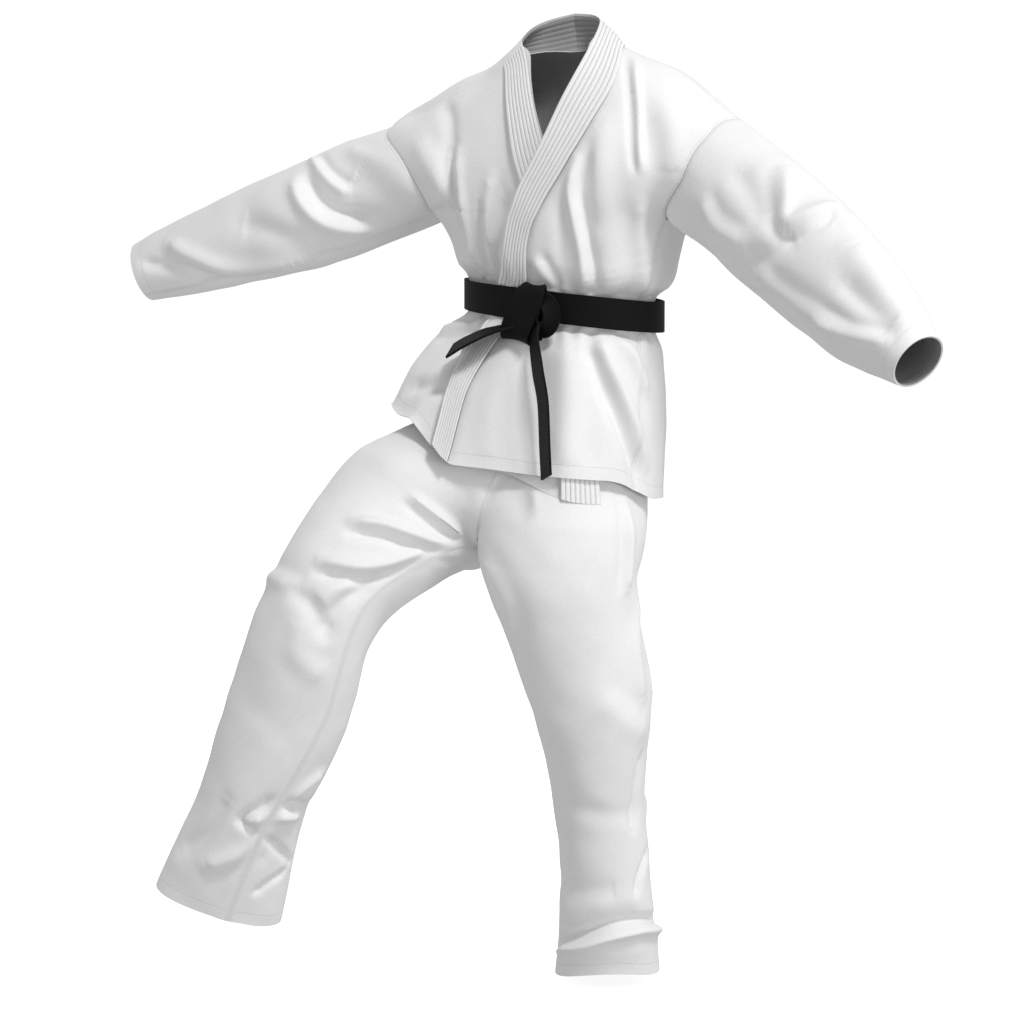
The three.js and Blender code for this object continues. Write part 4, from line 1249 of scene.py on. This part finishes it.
class UNIFORM_OT_trousers(bpy.types.Operator):
    """Both halves of the trousers and their waistband"""
    bl_idname = "uniform.trousers"
    bl_label = "Trousers"

    def execute(self, context):
        for side in SIDES:
            make_leg(side)
        cols = 200
        turn = np.linspace(0, 2 * np.pi, cols, endpoint=False)
        h = np.linspace(-20, 20, 21)[:, None]
        x = 130 * np.sin(turn) + 0 * h
        depth = np.where(np.cos(turn) > 0, 85, 81)
        y = -depth * np.cos(turn) + 0 * h
        grid = np.stack([x, y, BELT_HEIGHT - 10 + BELT_TILT * x + h], -1)
        grid = grid + normals_of(grid, True) * (1.6 * np.sin(turn * 40) * (1 - (h / 22) ** 2))[..., None]
        band = shell("waistband_cloth", grid, 3.6, material("cotton"), ring=True, marks=no_stitches(grid))
        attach(band, ROOT)
        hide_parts("trouser_waistband")
        return {"FINISHED"}


class UNIFORM_OT_belt(bpy.types.Operator):
    """The belt: two turns, the knot and its two ends"""
    bl_idname = "uniform.belt"
    bl_label = "Belt"

    def execute(self, context):
        outer = BELT_INSIDE + 2 * BELT_THICK + 0.4
        for turn, outset, phase in (("inner", BELT_INSIDE + BELT_THICK, 1.0), ("outer", outer, 0.0)):
            grid = belt_ring(outset, phase)
            belt_piece(f"belt_{turn}_turn_band", grid, ROOT, [f"belt_{turn}_turn"], ring=True)
        face = -(WAIST[2] + outer)
        fold = ribbon(
            [(25, face + 5, -362), (25, face + 1, -352), (25, face - 9, -350), (23, face - 19, -360),
             (17, face - 25, -379), (8, face - 27, -402), (-2, face - 24, -424), (-5, face - 13, -435),
             (-5, face - 3, -430)],
            [(1, 0, -0.1)] * 4 + [(0.97, 0, -0.22)] * 5, [24, 27, 33, 43, 48, 48, 46, 45, 44], bow=3.0)
        belt_piece("belt_knot_fold", fold, ROOT, ["belt_knot_wrap"], thick=KNOT_THICK, flip=True)
        core = ribbon([(27, face - 3, -366), (27, face - 7, -388), (25, face - 8, -410),
                       (22, face - 6, -431)],
                      [(1, 0, -0.1)] * 4, [30, 34, 34, 26])
        belt_piece("belt_knot_core_band", core, ROOT, ["belt_knot_core"], thick=KNOT_THICK)
        count = 16
        turn = np.radians(np.linspace(125, -250, count))
        reach = np.linspace(20, 12, count)
        loop_path = np.stack([41 + reach * np.cos(turn), face - 17 - np.linspace(0, 6, count),
                              -399 + 1.3 * reach * np.sin(turn)], -1)
        loop_wide = np.stack([np.cos(turn), 0.5 + 0 * turn, np.sin(turn)], -1)
        loop = ribbon(loop_path, loop_wide, np.linspace(24, 19, count), rows=160, bow=2.0)
        belt_piece("belt_knot_loop", loop, ROOT, [], thick=KNOT_THICK, flip=True)
        long_path = [(34, face - 15, -408), (34, face - 24, -432), (49, face - 40, -474),
                     (64, face - 51, -521), (75, face - 65, -583), (82, face - 73, -626)]
        long_end = ribbon(long_path, [(0.73, -0.684, 0.067)] * 6, [22, 34, 44, 44, 44, 44], rows=160)
        belt_piece("belt_tail_long_band", long_end, "belt_long_end", ["belt_tail_long"], thick=END_THICK)
        short_path = [(0, face - 12, -407), (-27, face - 24, -414), (-52, face - 31, -422),
                      (-79, face - 35, -434), (-104, face - 35, -447)]
        short_end = ribbon(short_path, [(0.58, -0.774, -0.176)] * 5, [16, 30, 44, 44, 42], rows=120)
        belt_piece("belt_tail_short_band", short_end, "belt_short_end", ["belt_tail_short"], thick=END_THICK,
                   flip=True)
        return {"FINISHED"}


class UNIFORM_PT_panel(bpy.types.Panel):
    """Lists the uniform's pieces"""
    bl_idname = "UNIFORM_PT_panel"
    bl_label = "Uniform"
    bl_space_type = "VIEW_3D"
    bl_region_type = "UI"
    bl_category = "Uniform"

    def draw(self, context):
        look = context.scene.uniform_look
        self.layout.prop(look, "cotton_colour")
        self.layout.prop(look, "belt_colour")
        for operator in OPERATORS:
            self.layout.operator(operator.bl_idname)


OPERATORS = (UNIFORM_OT_stage, UNIFORM_OT_jacket, UNIFORM_OT_lapels, UNIFORM_OT_sleeves, UNIFORM_OT_trousers,
             UNIFORM_OT_belt)
CLASSES = (UNIFORM_PG_look, *OPERATORS, UNIFORM_PT_panel)


def register():
    for cls in CLASSES:
        bpy.utils.register_class(cls)
    bpy.types.Scene.uniform_look = bpy.props.PointerProperty(type=UNIFORM_PG_look)


def unregister():
    del bpy.types.Scene.uniform_look
    for cls in reversed(CLASSES):
        bpy.utils.unregister_class(cls)


def main():
    """Builds the whole uniform in order."""
    register()
    bpy.ops.uniform.stage()
    bpy.ops.uniform.jacket()
    bpy.ops.uniform.lapels()
    bpy.ops.uniform.sleeves()
    bpy.ops.uniform.trousers()
    bpy.ops.uniform.belt()
    bpy.context.view_layer.update()


if __name__ == "__main__":
    main()
